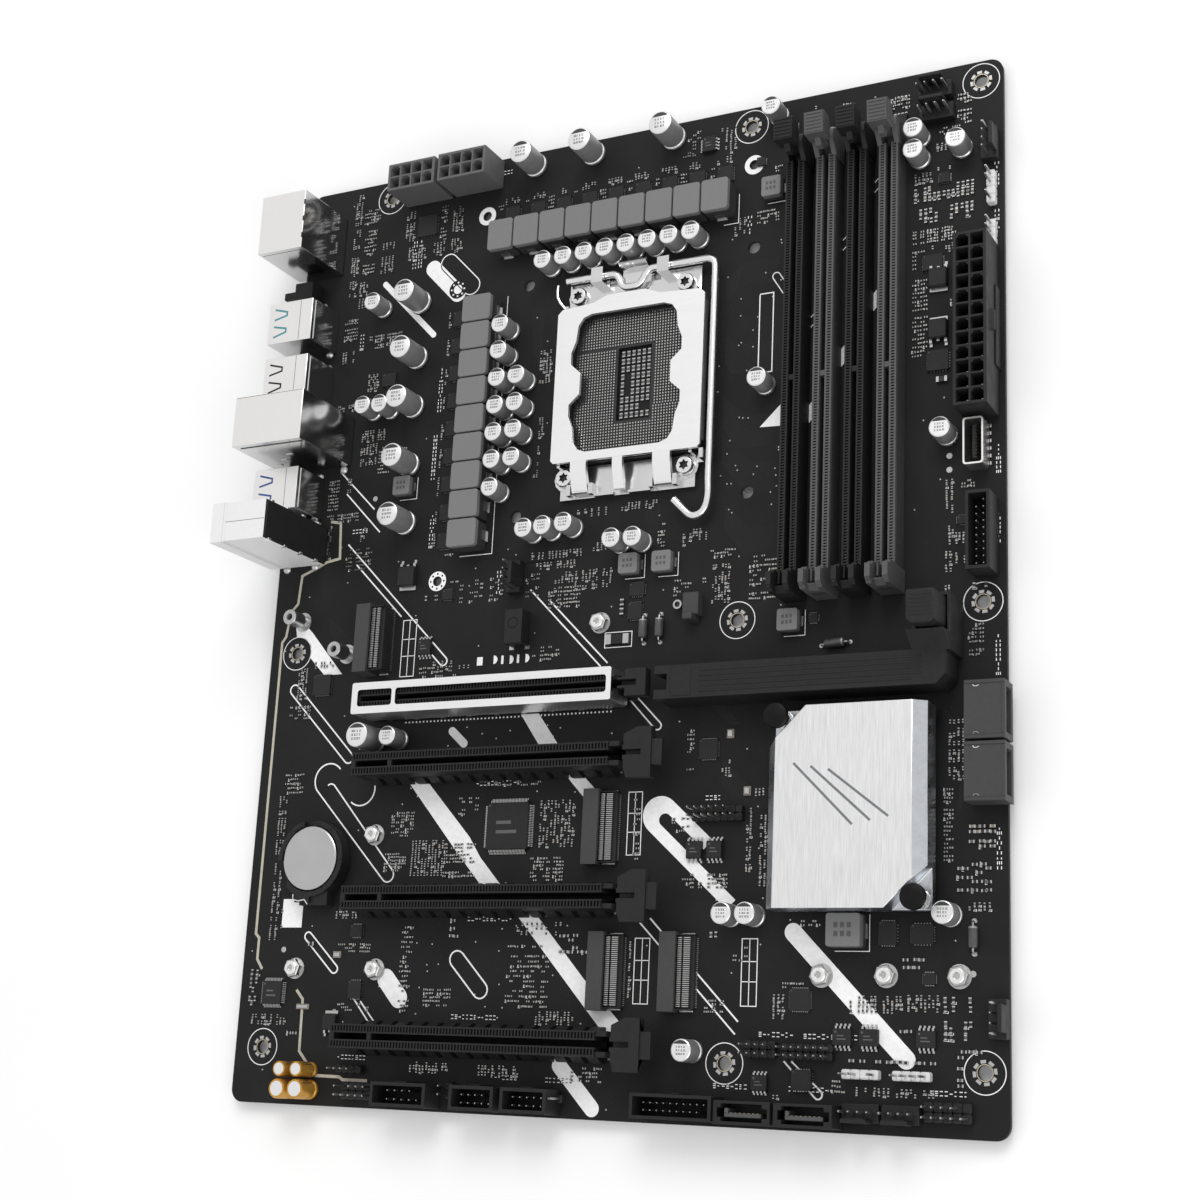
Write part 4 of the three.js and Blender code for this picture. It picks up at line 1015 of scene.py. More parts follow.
def pcie_slots():
    for i in range(1, 5):
        node = f"pcie_slot_{i}"
        x0, fork_end, y0, y1, z0, z1 = limits(node)
        y = (y0 + y1) / 2
        body_end = 9.0
        high = z1 - TOP
        form = Form()
        pcie_rails(form, y, x0, body_end, high, 0.8 if i == 1 else 0.95)
        for k in range(44):
            x = x0 + 1.2 + 2.0 * k
            form.block(x, x + 0.7, y - 4.0, y - 3.4, -0.1, 0.4, "tin")
            form.block(x + 1.0, x + 1.7, y + 3.4, y + 4.0, -0.1, 0.4, "tin")
        if i > 1:
            # Sloped buttresses along the side walls.
            for k in range(16):
                x = x0 + 2.4 + 5.35 * k
                for side in BOTH:
                    wedge = [(y - 3.3, 5.4), (y - 5.0, 2.0), (y - 5.0, 0.1), (y - 3.3, 0.1)]
                    if side > 0:
                        wedge = [(2 * y - py, pz) for py, pz in reversed(wedge)]
                    form.profile_x(wedge, x, x + 3.5, "black_plastic")
        fork = 3.5 if i > 1 else 2.8
        for side in BOTH:
            lo, hi = pair(y, side, fork, fork - 1.4)
            cheek = [(body_end - 0.5, 0.1), (fork_end, 0.1), (fork_end, high - 1.8), (fork_end - 0.8, high - 0.6),
                     (body_end - 0.5, high - 0.6)]
            form.profile_y(cheek, lo, hi, "black_plastic")
        form.block(body_end - 0.5, fork_end, y - fork, y + fork, 0.1, 0.8, "black_plastic")
        piece(node + "_rails", form, replaces=[node], sharp=30)


def slot_shield():
    """The folded steel jacket of the first slot."""
    form = Form()
    x0, x1, y0, y1, z0, z1 = limits("pcie_slot_1_shield")
    y = (y0 + y1) / 2
    low, high = z0 - TOP, z1 - TOP
    bridge = x0 + 14.6
    openings = [rounded(left, right, y - 2.6, y + 2.6, 0.9)
                for left, right in ((x0 + 2.1, bridge), (bridge + 1.3, x1 - 1.6))]
    form.plate(rounded(x0, x1, y0, y1, 0.7), openings, high - 0.45, high, "steel")
    for side in BOTH:
        lo, hi = pair(y, side, 4.9, 4.5)
        form.block(x0 + 0.4, x1 - 0.4, lo, hi, low, high - 0.3, "steel")
        for k in range(9):
            x = x0 + 6 + 9.6 * k
            form.block(x, x + 1.6, lo, hi, 0.0, low + 0.1, "steel")
    form.block(x0, x0 + 0.4, y0 + 0.4, y1 - 0.4, low, high - 0.3, "steel")
    for near, far in ((y0 + 0.4, y - 2.2), (y + 2.2, y1 - 0.4)):
        form.block(x1 - 0.4, x1, near, far, low, high - 0.3, "steel")
    piece("pcie_slot_1_jacket", form, replaces=["pcie_slot_1_shield"], bevel=0.18)


pcie_slots()
slot_shield()
for node in (f"pcie_latch_{i}" for i in range(1, 5)):
    black(node, node, 0.25)


def quick_release():
    black("q_release_cover", bevel=0.35)
    black("q_release_button", "q_release_button", 0.45)
    x0, x1, y0, y1, z0, z1 = limits("q_release_cover")
    form = Form(0)
    bar_top = TOP + 0.1 + 12.0
    for k in range(5):
        y = y0 + 1.5 + 1.5 * k
        right = x1 - (8 if k else 11)
        form.block(x0 + 14, right, y, y + 0.55, bar_top - 0.1, bar_top + 0.2, "black_plastic", 0.1)
    form.block(x0 + 5.2, x0 + 11.5, y0 + 0.6, y0 + 9.2, bar_top - 0.1, bar_top + 0.3, "black_plastic", 0.25)
    piece("q_release_ribs", form)
    bx0, bx1, by0, _, _, bz1 = limits("q_release_button")
    grip = Form(0)
    for k in range(6):
        y = by0 + 2.2 + 1.1 * k
        grip.block(bx0 + 1.0, bx1 - 1.0, y, y + 0.5, bz1 - 0.1, bz1 + 0.12, "black_plastic", 0.05)
    piece("q_release_button_grip", grip, body="q_release_button")


quick_release()


# ================================================================= drive sockets and stand-offs
def drive_sockets():
    for i in range(1, 5):
        node = f"m2_socket_{i}"
        x0, x1, y0, y1, z0, z1 = limits(node)
        refine(node, "slate_plastic", bevel=0.15,
               others=["black_plastic"], choose=lambda c, n, edge=x0 + 5.05: "black_plastic" if c.x > edge else None)
        form = Form(0)
        for k in range(34):
            y = y0 + 1.6 + (y1 - y0 - 3.2) * k / 33
            form.block(x1 - 2.2, x1 + 0.45, y - 0.14, y + 0.14, TOP, TOP + 0.25, "tin")
            form.block(x0 + 5.3, x0 + 6.6, y - 0.12, y + 0.12, z1 - 1.75, z1 - 1.2, "tin")
            form.block(x0 + 7.1, x1 - 0.9, y - 0.12, y + 0.12, z1 - 1.75, z1 - 1.3, "tin")
            form.block(x0 - 0.5, x0 + 0.1, y - 0.14, y + 0.14, TOP, TOP + 0.3, "tin")
        for y in (y0 + 0.2, y1 - 1.0):
            form.block(x0 + 5.4, x1 - 0.4, y, y + 0.8, TOP, TOP + 0.8, "tin", 0.1)
        piece(node + "_contacts", form)


STANDOFFS = [(-110.4, -1.0, 8.0, 2.9), (-92.1, -12.8, 8.0, 2.9)]
STANDOFFS += [(x, y, 3.2, 3.0) for x, y in ((-76.0, -71.1), (-1.3, -9.0), (-101.8, -111.9), (-72.3, -111.9),
                                            (70.8, -111.9), (89.0, -111.7), (108.9, -111.7))]


def standoffs():
    form = Form()
    for x, y, high, size in STANDOFFS:
        r = size * 0.86
        form.lathe(x, y, [(r + 0.7, 0.0), (r + 0.65, 0.25), (r + 0.1, 0.3)], "nut", 26)
        # The bottom of each bore is painted near-black as shade.
        if high > 5:
            post = [(r * 0.8, 0.2), (r * 0.8, 2.2), (r, 2.5), (r, high - 0.25), (r * 0.93, high), (1.15, high),
                    (1.05, high - 0.25), (0.8, high - 1.6)]
            form.lathe(x, y, post, "nut", 28, ("nut", "deep_plastic"))
        else:
            form.prism(arc(x, y, r * 1.12, 6, 12, 360, True), 0.25, high * 0.8, "nut", 0.22)
            form.lathe(x, y, [(r * 0.8, high * 0.7), (r * 0.8, high - 0.15), (r * 0.72, high), (1.0, high),
                              (0.9, high - 0.2), (0.8, high - 1.4)], "can_shell", 26, ("nut", "deep_plastic"))
    piece("standoffs", form)


drive_sockets()
standoffs()


# ================================================================= power connectors and headers
def square_pin(form, x, y, z0, z1, half=0.32):
    rings = [[(px, py, z) for px, py in rectangle(x - reach, x + reach, y - reach, y + reach)]
             for z, reach in ((z0, half), (z1 - half, half), (z1, half * 0.5))]
    form.skin(rings, "tin")


def power_connectors():
    for node, columns, rows in POWER_GRIDS:
        x0, x1, y0, y1, z0, z1 = limits(node)
        main = node == POWER_GRIDS[0][0]
        name, slot = ("black_plastic", "black_plastic") if main else ("ash_plastic", "grey_plastic")
        # Upward faces deep in the cavities are painted near-black as shade.
        refine(node, name, bevel=0.2, join=False, others=["deep_plastic"],
               choose=lambda c, n, low=z1 - 8.9: "deep_plastic" if c.z < low and n.z > 0.9 else None)
        form = Form(0)
        cx, cy = x0 + (columns * CELL_PITCH + 1.2) / 2, y0 + (rows * CELL_PITCH + 1.2) / 2
        for i, j, dx, dy in cells(columns, rows):
            x, y = cx + dx, cy + dy
            square_pin(form, x + 0.5, y - 0.5, z1 - 9.1, z1 - 3.4, 0.45)
            # Corner fillets make every other cavity a keyed shape.
            if (i + j) % 2:
                for side in BOTH:
                    corner = [(x + side * 1.75, y + 1.75), (x + side * 0.8, y + 1.75), (x + side * 1.75, y + 0.8)]
                    form.prism(corner[::-side], z1 - 8.9, z1 - 0.12, name)
        if main:
            form.block(x1 - 1.02, x1 - 0.5, cy - 12, cy + 12, z0, z1 - 8, name, 0.15)
        piece(node + "_pins", form)


def shrouded(form, x0, x1, y0, y1, high, wall):
    """An open box with a floor, painted near-black as shade."""
    form.plate(rounded(x0, x1, y0, y1, 0.25, 2), [rounded(*shrunk(x0, x1, y0, y1, wall), 0.2, 2)], 0.1, high,
               "black_plastic")
    form.block(*shrunk(x0, x1, y0, y1, wall - 0.05), 0.1, 1.4, "deep_plastic")


def pin_rows(form, x0, y0, columns, rows, pitch, top, half, skip):
    for i in range(columns):
        for j in range(rows):
            if (i, j) != skip:
                square_pin(form, x0 + i * pitch, y0 + j * pitch, 1.2, top, half)


def headers():
    form = Form()
    for node, columns, rows in (("usb_header_front", 2, 10), ("usb_header_lower", 10, 2)):
        x0, x1, y0, y1, z0, z1 = limits(node)
        high, cx, cy = z1 - TOP, (x0 + x1) / 2, (y0 + y1) / 2
        shrouded(form, x0, x1, y0, y1, high, 0.9)
        upright = rows > columns
        pin_rows(form, cx + 1 - columns, cy + 1 - rows, columns, rows, 2.0, 6.6, 0.25, (0, 9) if upright else (9, 0))
        key = (x0 - 0.35, x0 + 0.05, cy - 2, cy + 2) if upright else (cx - 2, cx + 2, y1 - 0.05, y1 + 0.35)
        form.block(*key, 0.1, high - 1.5, "black_plastic", 0.15)
    piece("usb_headers_shape", form, replaces=["usb_header_front", "usb_header_lower"], bevel=0.12)

    form = Form()
    x0, x1, y0, y1, z0, z1 = limits("usb_c_header")
    high, cx, cy = z1 - TOP, (x0 + x1) / 2, (y0 + y1) / 2
    mouth = rounded(*shrunk(x0, x1, y0, y1, 0.5), 0.6, 4)
    form.plate(rounded(x0, x1, y0, y1, 0.9, 4), [mouth], 0.15, high, "can_shell")
    # The floor inside the mouth is painted near-black as shade.
    form.block(*shrunk(x0, x1, y0, y1, 0.45), 0.1, 1.2, "deep_plastic")
    form.box(cx, cy, 0.45, 4.9, 1.1, high - 0.9, "black_plastic", 0.1)
    for k in range(10):
        for side in (-0.5, 0.5):
            form.box(cx + side, cy - 4.4 + k * 0.98, 0.06, 0.18, 1.3, high - 1.4, "gold")
    for k in range(6):
        for side in (x0 - 0.5, x1 + 0.1):
            form.block(side, side + 0.5, y0 + 1.2 + 2.2 * k, y0 + 2.2 + 2.2 * k, 0, 0.6, "tin", 0.1)
    piece("usb_c_header_shape", form, replaces=["usb_c_header"])


def sata_ports():
    for i in (1, 2):
        node = f"sata_port_{i}"
        x0, x1, y0, y1, z0, z1 = limits(node)
        black(node, bevel=0.2)
        cx, cy = (x0 + x1) / 2, (y0 + y1) / 2
        form = Form(0)
        form.block(cx - 5.3, cx + 5.3, cy - 1.2, cy - 0.1, z0 + 1.4, z1 - 1.2, "grey_plastic", 0.15)
        form.block(cx - 5.3, cx - 4.2, cy - 0.2, cy + 1.2, z0 + 1.4, z1 - 1.2, "grey_plastic", 0.15)
        for k in range(7):
            x = cx - 3.6 + 1.27 * k
            form.block(x - 0.3, x + 0.3, cy - 0.12, cy + 0.02, z0 + 1.6, z1 - 2.0, "gold")
        form.block(cx - 7.8, cx - 6.9, cy - 2.6, cy + 2.6, z1 - 0.25, z1 + 0.15, "black_plastic", 0.1)
        piece(node + "_blade", form)
    for i in (3, 4):
        node = f"sata_port_{i}"
        x0, x1, y0, y1, z0, z1 = limits(node)
        refine(node, "slate_plastic", bevel=0.25)
        cy = (y0 + y1) / 2
        form = Form(0)
        form.block(x0 + 3.4, x1 - 1.6, cy - 5.2, cy + 5.2, z0 + 3.6, z0 + 4.7, "black_plastic", 0.12)
        for k in range(7):
            y = cy - 3.6 + 1.27 * k
            form.block(x0 + 3.6, x1 - 2.0, y - 0.3, y + 0.3, z0 + 4.65, z0 + 4.78, "gold")
        for side in BOTH:
            # Raised lips and a small clip loop on the top face.
            lo, hi = pair(cy, side, 7.9, 6.9)
            form.block(x0 + 0.2, x1 + 0.02, lo, hi, z1 - 0.35, z1 + 0.32, "slate_plastic", 0.15)
            loop = [(x0 + 2.6, cy + side * 6.6, z1 + 0.02), (x0 + 2.8, cy + side * 6.2, z1 + 0.12),
                    (x0 + 3.6, cy + side * 6.1, z1 + 0.12), (x0 + 4.2, cy + side * 6.5, z1 + 0.02)]
            form.tube(loop, 0.12, "tin", 6)
        form.block(x1 - 0.9, x1 + 0.02, cy - 6.8, cy + 6.8, z1 - 0.2, z1 + 0.14, "slate_plastic", 0.1)
        piece(node + "_blade", form)


power_connectors()
headers()
sata_ports()


def open_header(form, x0, y0, columns, rows, pitch=2.54, skip=None, name="black_plastic", high=2.5):
    """A bare pin header: one small chamfered cell round each pin."""
    for i in range(columns):
        for j in range(rows):
            x, y, half = x0 + i * pitch, y0 + j * pitch, pitch / 2 - 0.02
            form.box(x, y, half, half, 0.05, high, name, 0.35)
            if (i, j) != skip:
                square_pin(form, x, y, high - 0.2, 8.2, 0.3)


def fan_header(form, x, y, turn):
    """Four pins in a row before a stepped back wall."""
    with form.at(x, y, 0, turn):
        for half, y0, y1, z0, z1, chamfer in ((5.08, -2.4, 2.4, 0.05, 3.2, 0.2), (3.48, 1.5, 2.6, 3.0, 8.8, 0.2),
                                              (2.48, 1.2, 1.7, 3.0, 7.8, 0.1)):
            form.block(-half, half, y0, y1, z0, z1, "black_plastic", chamfer)
        for k in range(4):
            square_pin(form, -3.81 + 2.54 * k, -0.3, 3.0, 9.0)


HEADERS = (
    # maker, then for a fan header: x, y, turn; for a bare one: x, y, columns, rows, pitch, pin left out
    (fan_header, (102.4, 144.6, 0), (102.9, 137.4, 0), (118.4, 124.5, -90), (-31.0, 7.2, -90), (83.1, -147.2, 180),
     (94.0, -147.2, 180), (119.6, -122.4, -90)),
    (open_header, (101.2, -147.4, 5, 2, 2.54, (4, 1)), (50.6, -133.0, 4, 2, 2.3), (61.3, -133.2, 7, 2, 2.1),
     (-81.6, -141.4, 4, 1, 2.3), (-78.6, -148.9, 5, 2, 2.54, (1, 1)), (32.9, -68.6, 7, 2, 2.2, (6, 1)),
     (-8.6, -147.2, 2, 1, 2.3), (-42.6, -147.4, 1, 2, 2.3)),
)
LIGHTING_HEADERS = ((118.8, 106.9, 1, 4, (0, 1)), (118.8, 94.0, 1, 3, None), (78.9, -137.4, 4, 1, (2, 0)),
                    (92.8, -137.4, 4, 1, None))


def make_all(form, table):
    for build, *places in table:
        for place in places:
            build(form, *place)


def pin_headers():
    form = Form()
    make_all(form, HEADERS)
    piece("pin_headers", form)

    white = Form()
    for x, y, columns, rows, skip in LIGHTING_HEADERS:
        open_header(white, x, y, columns, rows, 2.54, skip, "white_plastic", 2.8)
    piece("lighting_headers", white)

    low = Form()
    for x0, x1, share in ((-65.3, -46.4, 1), (-38.4, -23.8, 0.9), (-21.6, -6.8, 0.9)):
        shrouded(low, x0, x1, -151.7, -144.7, 8.9, 1.0)
        centre = (x0 + x1) / 2
        pin_rows(low, centre - 5.08 * share, -149.5, 5, 2, 2.54 * share, 6.4, 0.3, (4, 1))
        low.block(centre - 2, centre + 2, -144.75, -144.3, 0.1, 7.4, "black_plastic", 0.15)
    piece("lower_box_headers", low, bevel=0.12)


pin_headers()


# ================================================================= rear connectors
def can_looks(node):
    """Top and rear faces of a can are satin; its inner end and sides get a glossier copy of the metal that mirrors
    the board, its colour darkened as painted shade, and faces inside the can are painted near-black as shade.
    """
    x0, x1, y0, y1, z0, z1 = limits(node)

    def pick(centre, normal):
        inside = x0 + 0.5 < centre.x < x1 - 0.5 and y0 + 0.5 < centre.y < y1 - 0.5 and centre.z < z1 - 0.5
        if inside:
            return "deep_plastic"
        if abs(normal.x) > 0.9 and centre.x > x1 - 0.5 or abs(normal.y) > 0.9:
            return "mirror_can"
        return None

    return pick


def usb_tongue(form, x0, y, z, colour):
    form.block(x0 + 2.2, x0 + 13.8, y - 5.8, y + 5.8, z + 2.7, z + 4.4, colour, 0.2)
    for k in range(4):
        py = y - 3.6 + 2.4 * k
        form.block(x0 + 3.0, x0 + 10.0, py - 0.5, py + 0.5, z + 2.58, z + 2.72, "gold")
    for side in BOTH:
        lo, hi = pair(y, side, 6.5, 6.15)
        form.block(x0 + 0.6, x0 + 9.0, lo, hi, z + 1.6, z + 3.6, "can_shell")


def spring_cuts(form, x0, y, z, colour):
    """The stamped springs in a can's top: U-shaped slits drawn as dark ribbons, painted shade in the gaps, with a
    band of the tongue's colour along each.
    """
    for side in BOTH:
        for part, name, lift in ((0.62, "choke_side", 0.012), (0.34, colour, 0.02)):
            path = [(x0 + dx, y + side * dy) for dx, dy in ((1.6, 1.2), (6.6, 2.3), (6.6, 3.6), (1.6, 5.0))]
            form.ribbon(path, part, z - 0.04, z + lift, name)


def rear_cans():
    for node in ("display_ports", "usb_stack_1", "usb_stack_2", "usb_stack_3", "lan_usb_stack"):
        refine(node, "can_shell", bevel=0.22, others=["mirror_can", "deep_plastic"],
               choose=can_looks(node))
    form = Form(0)
    for node, colour in (("usb_stack_1", "usb_teal"), ("usb_stack_2", "deep_plastic"), ("usb_stack_3", "usb_blue")):
        x0, x1, y0, y1, z0, z1 = limits(node)
        y = (y0 + y1) / 2
        for low in (1.6, 8.2):
            usb_tongue(form, x0, y, z0 + low, colour)
        spring_cuts(form, x0 + 0.6, y, z1, colour)
        form.ribbon([(x0 + 12.6, y0 + 0.3), (x0 + 12.6, y1 - 0.3)], 0.16, z1 - 0.04, z1 + 0.012, "choke_side")
        for k in range(3):
            form.lathe(x0 + 11.0, y - 4.6 + 4.6 * k, [(0.55, z1 - 0.05), (0.5, z1 + 0.06)], "can_shell", 14)
        # The plate at the inner end takes the glossy can metal, its colour darkened as painted shade.
        form.profile_y([(x1 - 0.1, z0), (x1 + 0.25, z0), (x1 + 0.25, z1 - 1.6), (x1 - 0.1, z1 - 1.2)], y0 + 0.5,
                       y1 - 0.5, "mirror_can")
    x0, x1, y0, y1, z0, z1 = limits("lan_usb_stack")
    y = (y0 + y1) / 2
    for low in (1.6, 8.2):
        usb_tongue(form, x0, y, z0 + low, "usb_blue")
    for k in range(8):
        form.block(x0 + 3, x0 + 11, y - 3.6 + k * 1.02, y - 3.3 + k * 1.02, z0 + 24.6, z0 + 25.2, "gold")
    form.block(x0 - 0.02, x0 + 0.1, y - 7.0, y - 5.2, z0 + 26.9, z0 + 28.2, "usb_teal", 0.05)
    form.block(x0 - 0.02, x0 + 0.1, y + 5.2, y + 7.0, z0 + 26.9, z0 + 28.2, "print", 0.05)
    form.ribbon([(x0 + 0.4, y1 - 0.25), (x1 - 0.4, y1 - 0.25)], 0.12, z1 - 0.05, z1 + 0.02, "choke_side")
    # Folded seam and side springs of the network can.
    form.block(x0 + 2, x1 - 0.4, y0 - 0.16, y0 + 0.05, z1 - 2.6, z1 - 2.3, "choke_side")
    for k in range(3):
        x, z = x0 + 3 + 5 * k, z0 + 8 + 4 * k
        form.block(x, x + 2.4, y0 - 0.22, y0 + 0.02, z, z + 1.2, "can_shell", 0.08)
    x0, x1, y0, y1, z0, z1 = limits("display_ports")
    y = (y0 + y1) / 2
    for low, wide in ((2.4, 11.6), (14.6, 12.0)):
        z = z0 + low + 2.0
        form.block(x0 + 2.0, x0 + 11.5, y - wide / 2, y + wide / 2, z, z + 1.2, "black_plastic", 0.15)
    for k in range(3):
        form.block(x1 - 0.35, x1 + 0.02, y0 + 3.5 + 6 * k, y0 + 5.3 + 6 * k, z1 - 0.2, z1 + 0.02, "deep_plastic")
    form.block(x0 + 1.0, x1 - 0.6, y0 - 0.03, y0 + 0.1, z1 - 1.9, z1 - 1.7, "choke_side")
    piece("rear_connector_details", form)

    # Solder tabs beside the cans.
    tabs = Form()
    for x, y in ((-119.0, 17.6), (-107.8, 17.7), (-113.6, 110.2), (-109.4, 92.4), (-109.4, 87.2), (-109.4, 72.6),
                 (-109.0, 48.6), (-99.6, 50.2), (-109.6, 33.0)):
        tabs.lathe(x, y, [(1.5, -0.05), (1.35, 0.25), (0.95, 0.75), (0.4, 1.05)], "tin", 18)
    piece("solder_tabs", tabs)


def audio_block():
    x0, x1, y0, y1, z0, z1 = limits("audio_jacks")
    refine("audio_jacks", "pale_plastic", bevel=0.3,
           others=["black_plastic", "deep_plastic"],
           choose=lambda c, n: "black_plastic" if c.x > x1 - 0.4 and n.x > 0.9 else None)
    form = Form(0)
    y = (y0 + y1) / 2
    # Raised bands round the mouth, the black end plate with its lugs, and the seam of the lid.
    for low, high, stand in ((0.2, 4.6, 0.22), (5.0, 5.6, 0.14)):
        band = [(y0 - stand, z0 + 0.6), (y1 + stand, z0 + 0.6), (y1 + stand, z1 + stand), (y0 - stand, z1 + stand)]
        form.profile_x(band, x0 + low, x0 + high, "pale_plastic")
    form.block(x1 - 0.05, x1 + 0.5, y0 + 0.15, y1 - 0.15, z0 + 0.2, z1 - 0.3, "black_plastic", 0.15)
    for k in range(4):
        z = z0 + 4.4 + 8.4 * k
        for edge in (y0 - 0.22, y1 - 0.38):
            form.block(x1 - 1.0, x1 + 0.75, edge, edge + 0.6, z, z + 1.5, "can_shell", 0.1)
    form.ribbon([(x0 + 5.6, y), (x1 - 0.2, y)], 0.16, z1 - 0.05, z1 + 0.012, "choke_side")
    ring = Form(0)
    colours = ("usb_teal", "usb_blue", "white_plastic", "gold", "choke_side", "deep_plastic")
    # The bore of each jack is lined and closed with near-black, painted shade inside the hole.
    for index, (z, dy) in enumerate((z, dy) for z in (5.4, 16.4, 27.4) for dy in (-3.1, 3.1)):
        with ring.at(x0, y + dy, z0 + z):
            ring.roll(0, 0, ((3.0, 2.6), (-0.02, 2.6), (-0.1, 2.45), (-0.1, 1.95), (0.5, 1.72), (3.0, 1.72)),
                      ["pale_plastic", *[colours[index]] * 3, "deep_plastic"], 22, ("deep_plastic", "deep_plastic"))
    piece("audio_jack_rings", ring)
    piece("audio_jack_details", form)


rear_cans()
audio_block()
black("bios_switch", bevel=0.2)
black("bios_button", "bios_button", 0.25)


# ================================================================= chipset heatsink
def heatsink():
    x0, x1, y0, y1, z0, z1 = limits("chipset_heatsink")

    # Faces other than the flat top get a smoother finish and a darker colour: painted shade on the sides and bevels.
    def pick(centre, normal):
        return None if normal.z > 0.95 and centre.z > z1 - 0.5 else "shaded_heatsink_edge"

    refine("chipset_heatsink", "brushed", bevel=0.22, others=["shaded_heatsink_edge"], choose=pick)
    form = Form(0)
    pins = ["heatsink_pin_1", "heatsink_pin_2"]
    for pin in pins:
        x, y = middle(pin)
        low, high = limits(pin)[4:]
        form.lathe(x, y, [(1.7, low), (1.7, high - 2.2), (3.2, high - 2.1), (3.5, high - 1.9), (3.5, high - 0.7),
                          (3.35, high - 0.25), (2.9, high)], "pin_cap", 32)
        spring = [(x + 2.35 * math.cos(k * 0.5), y + 2.35 * math.sin(k * 0.5), z0 + 3.9 + k * 0.062)
                  for k in range(76)]
        form.tube(spring, 0.28, "bright_steel", 6)
    piece("heatsink_pins_shape", form, replaces=pins)
    # Plain parallel grooves in place of the decoration.
    lines = Form(0)
    for k in range(3):
        shift = 5.0 * k
        lines.ribbon([(x0 + 8 + shift, y1 - 16 - shift * 0.2), (x1 - 20 + shift, y0 + 22 + shift * 0.2)],
                     0.7, z1 - 0.05, z1 + 0.012, "engraved")
    piece("heatsink_lines", lines)


heatsink()


# ================================================================= coin cell and holder
def battery():
    black("battery_holder", bevel=0.3)
    x, y = middle("coin_cell")
    x0, x1, y0, y1, z0, z1 = limits("coin_cell")
    form = Form(0)
    profile = [(8.6, z0), (9.7, z0 + 0.25), (9.98, z0 + 0.7), (9.98, z1 - 0.75), (9.8, z1 - 0.3), (9.45, z1 - 0.06),
               (9.1, z1), (8.8, z1 - 0.05), (8.6, z1 - 0.05)]
    form.lathe(x, y, profile, "cell", 72)
    piece("coin_cell_can", form, body="coin_cell", replaces=["coin_cell"])
    clip = Form()
    clip.block(x - 4.6, x + 0.8, y - 13.6, y - 10.6, 4.7, 5.3, "black_plastic", 0.2)
    clip.tube([(x - 4.8, y - 11.2, 5.6), (x - 4.6, y - 12.8, 5.7), (x - 2.6, y - 13.2, 5.7), (x - 0.4, y - 12.8, 5.7),
               (x + 0.6, y - 14.2, 5.2)], 0.22, "bright_steel", 8)
    for angle in (120, 60, 5, 175):
        with clip.at(x, y, 0, angle):
            clip.block(10.45, 11.9, -1.6, 1.6, 4.6, 5.5, "black_plastic", 0.2)
    piece("battery_holder_clips", clip)


battery()


# ================================================================= chips and small parts
def leads(form, count, pitch, reach, out, side, high, width):
    """Gull-wing leads along one side; side is the turn of that side in degrees."""
    with form.at(0, 0, 0, side):
        for k in range(count):
            y = (k - (count - 1) / 2) * pitch
            for start, end, low, top in ((-0.1, out * 0.45, high * 0.42, high * 0.58),
                                         (out * 0.35, out * 0.55, 0.05, high * 0.55), (out * 0.35, out, 0, 0.16)):
                form.block(reach + start, reach + end, y - width / 2, y + width / 2, low, top, "tin")


def package(form, x, y, width, depth, high, sides, pitch, count, out):
    """A moulded chip with leads on two or four sides."""
    with form.at(x, y):
        form.box(0, 0, width / 2, depth / 2, 0.12, high, "epoxy", 0.16)
        for side in sides:
            reach = width / 2 if side in (0, 180) else depth / 2
            leads(form, count, pitch, reach, out, side, high, pitch * 0.45)
        form.lathe(-width / 2 + 0.9, depth / 2 - 0.9, [(0.32, high - 0.05), (0.3, high + 0.012)], "epoxy_mark", 12)
        left = -width * 0.26
        for share, rise in ((0.36, 0.04), (0.5, -0.16)):
            low = depth * rise
            form.block(left, left + width * share, low, low + depth * 0.07, high - 0.05, high + 0.01, "epoxy_mark")


def leadless(form, x, y, width, depth, pads=6, high=0.85):
    """A flat leadless chip whose pads just show at its edges."""
    with form.at(x, y):
        form.box(0, 0, width / 2, depth / 2, 0.05, high, "epoxy", 0.08)
        for k in range(pads):
            shift = (k - (pads - 1) / 2) * 0.8 / pads
            form.box(0, shift * depth, width / 2 + 0.25, 0.11, 0, 0.1, "tin")
            form.box(shift * width, 0, 0.11, depth / 2 + 0.25, 0, 0.1, "tin")
        form.lathe(-width / 2 + 0.6, depth / 2 - 0.6, [(0.2, high - 0.05), (0.18, high + 0.012)], "epoxy_mark", 10)


def power_package(form, x, y, turn, s=1.0):
    """A tabbed power transistor with two legs; s is its scale."""
    with form.at(x, y, 0, turn):
        form.block(-2.7 * s, 2.7 * s, -2.9 * s, 2.9 * s, 0.1, 2.3 * s, "epoxy", 0.3)
        form.block(-2.7 * s, 2.7 * s, -4.0 * s, -2.7 * s, 0.1, 0.6 * s, "tin", 0.1)
        for px in (-2.2, 2.2):
            form.block((px - 0.4) * s, (px + 0.4) * s, 2.8 * s, 4.0 * s, 0.7 * s, 1.1 * s, "tin")
            form.block((px - 0.4) * s, (px + 0.4) * s, 3.7 * s, 5.0 * s, 0.0, 0.5 * s, "tin")
        form.block(-0.4 * s, 0.4 * s, 2.8 * s, 3.6 * s, 0.7 * s, 1.1 * s, "tin")


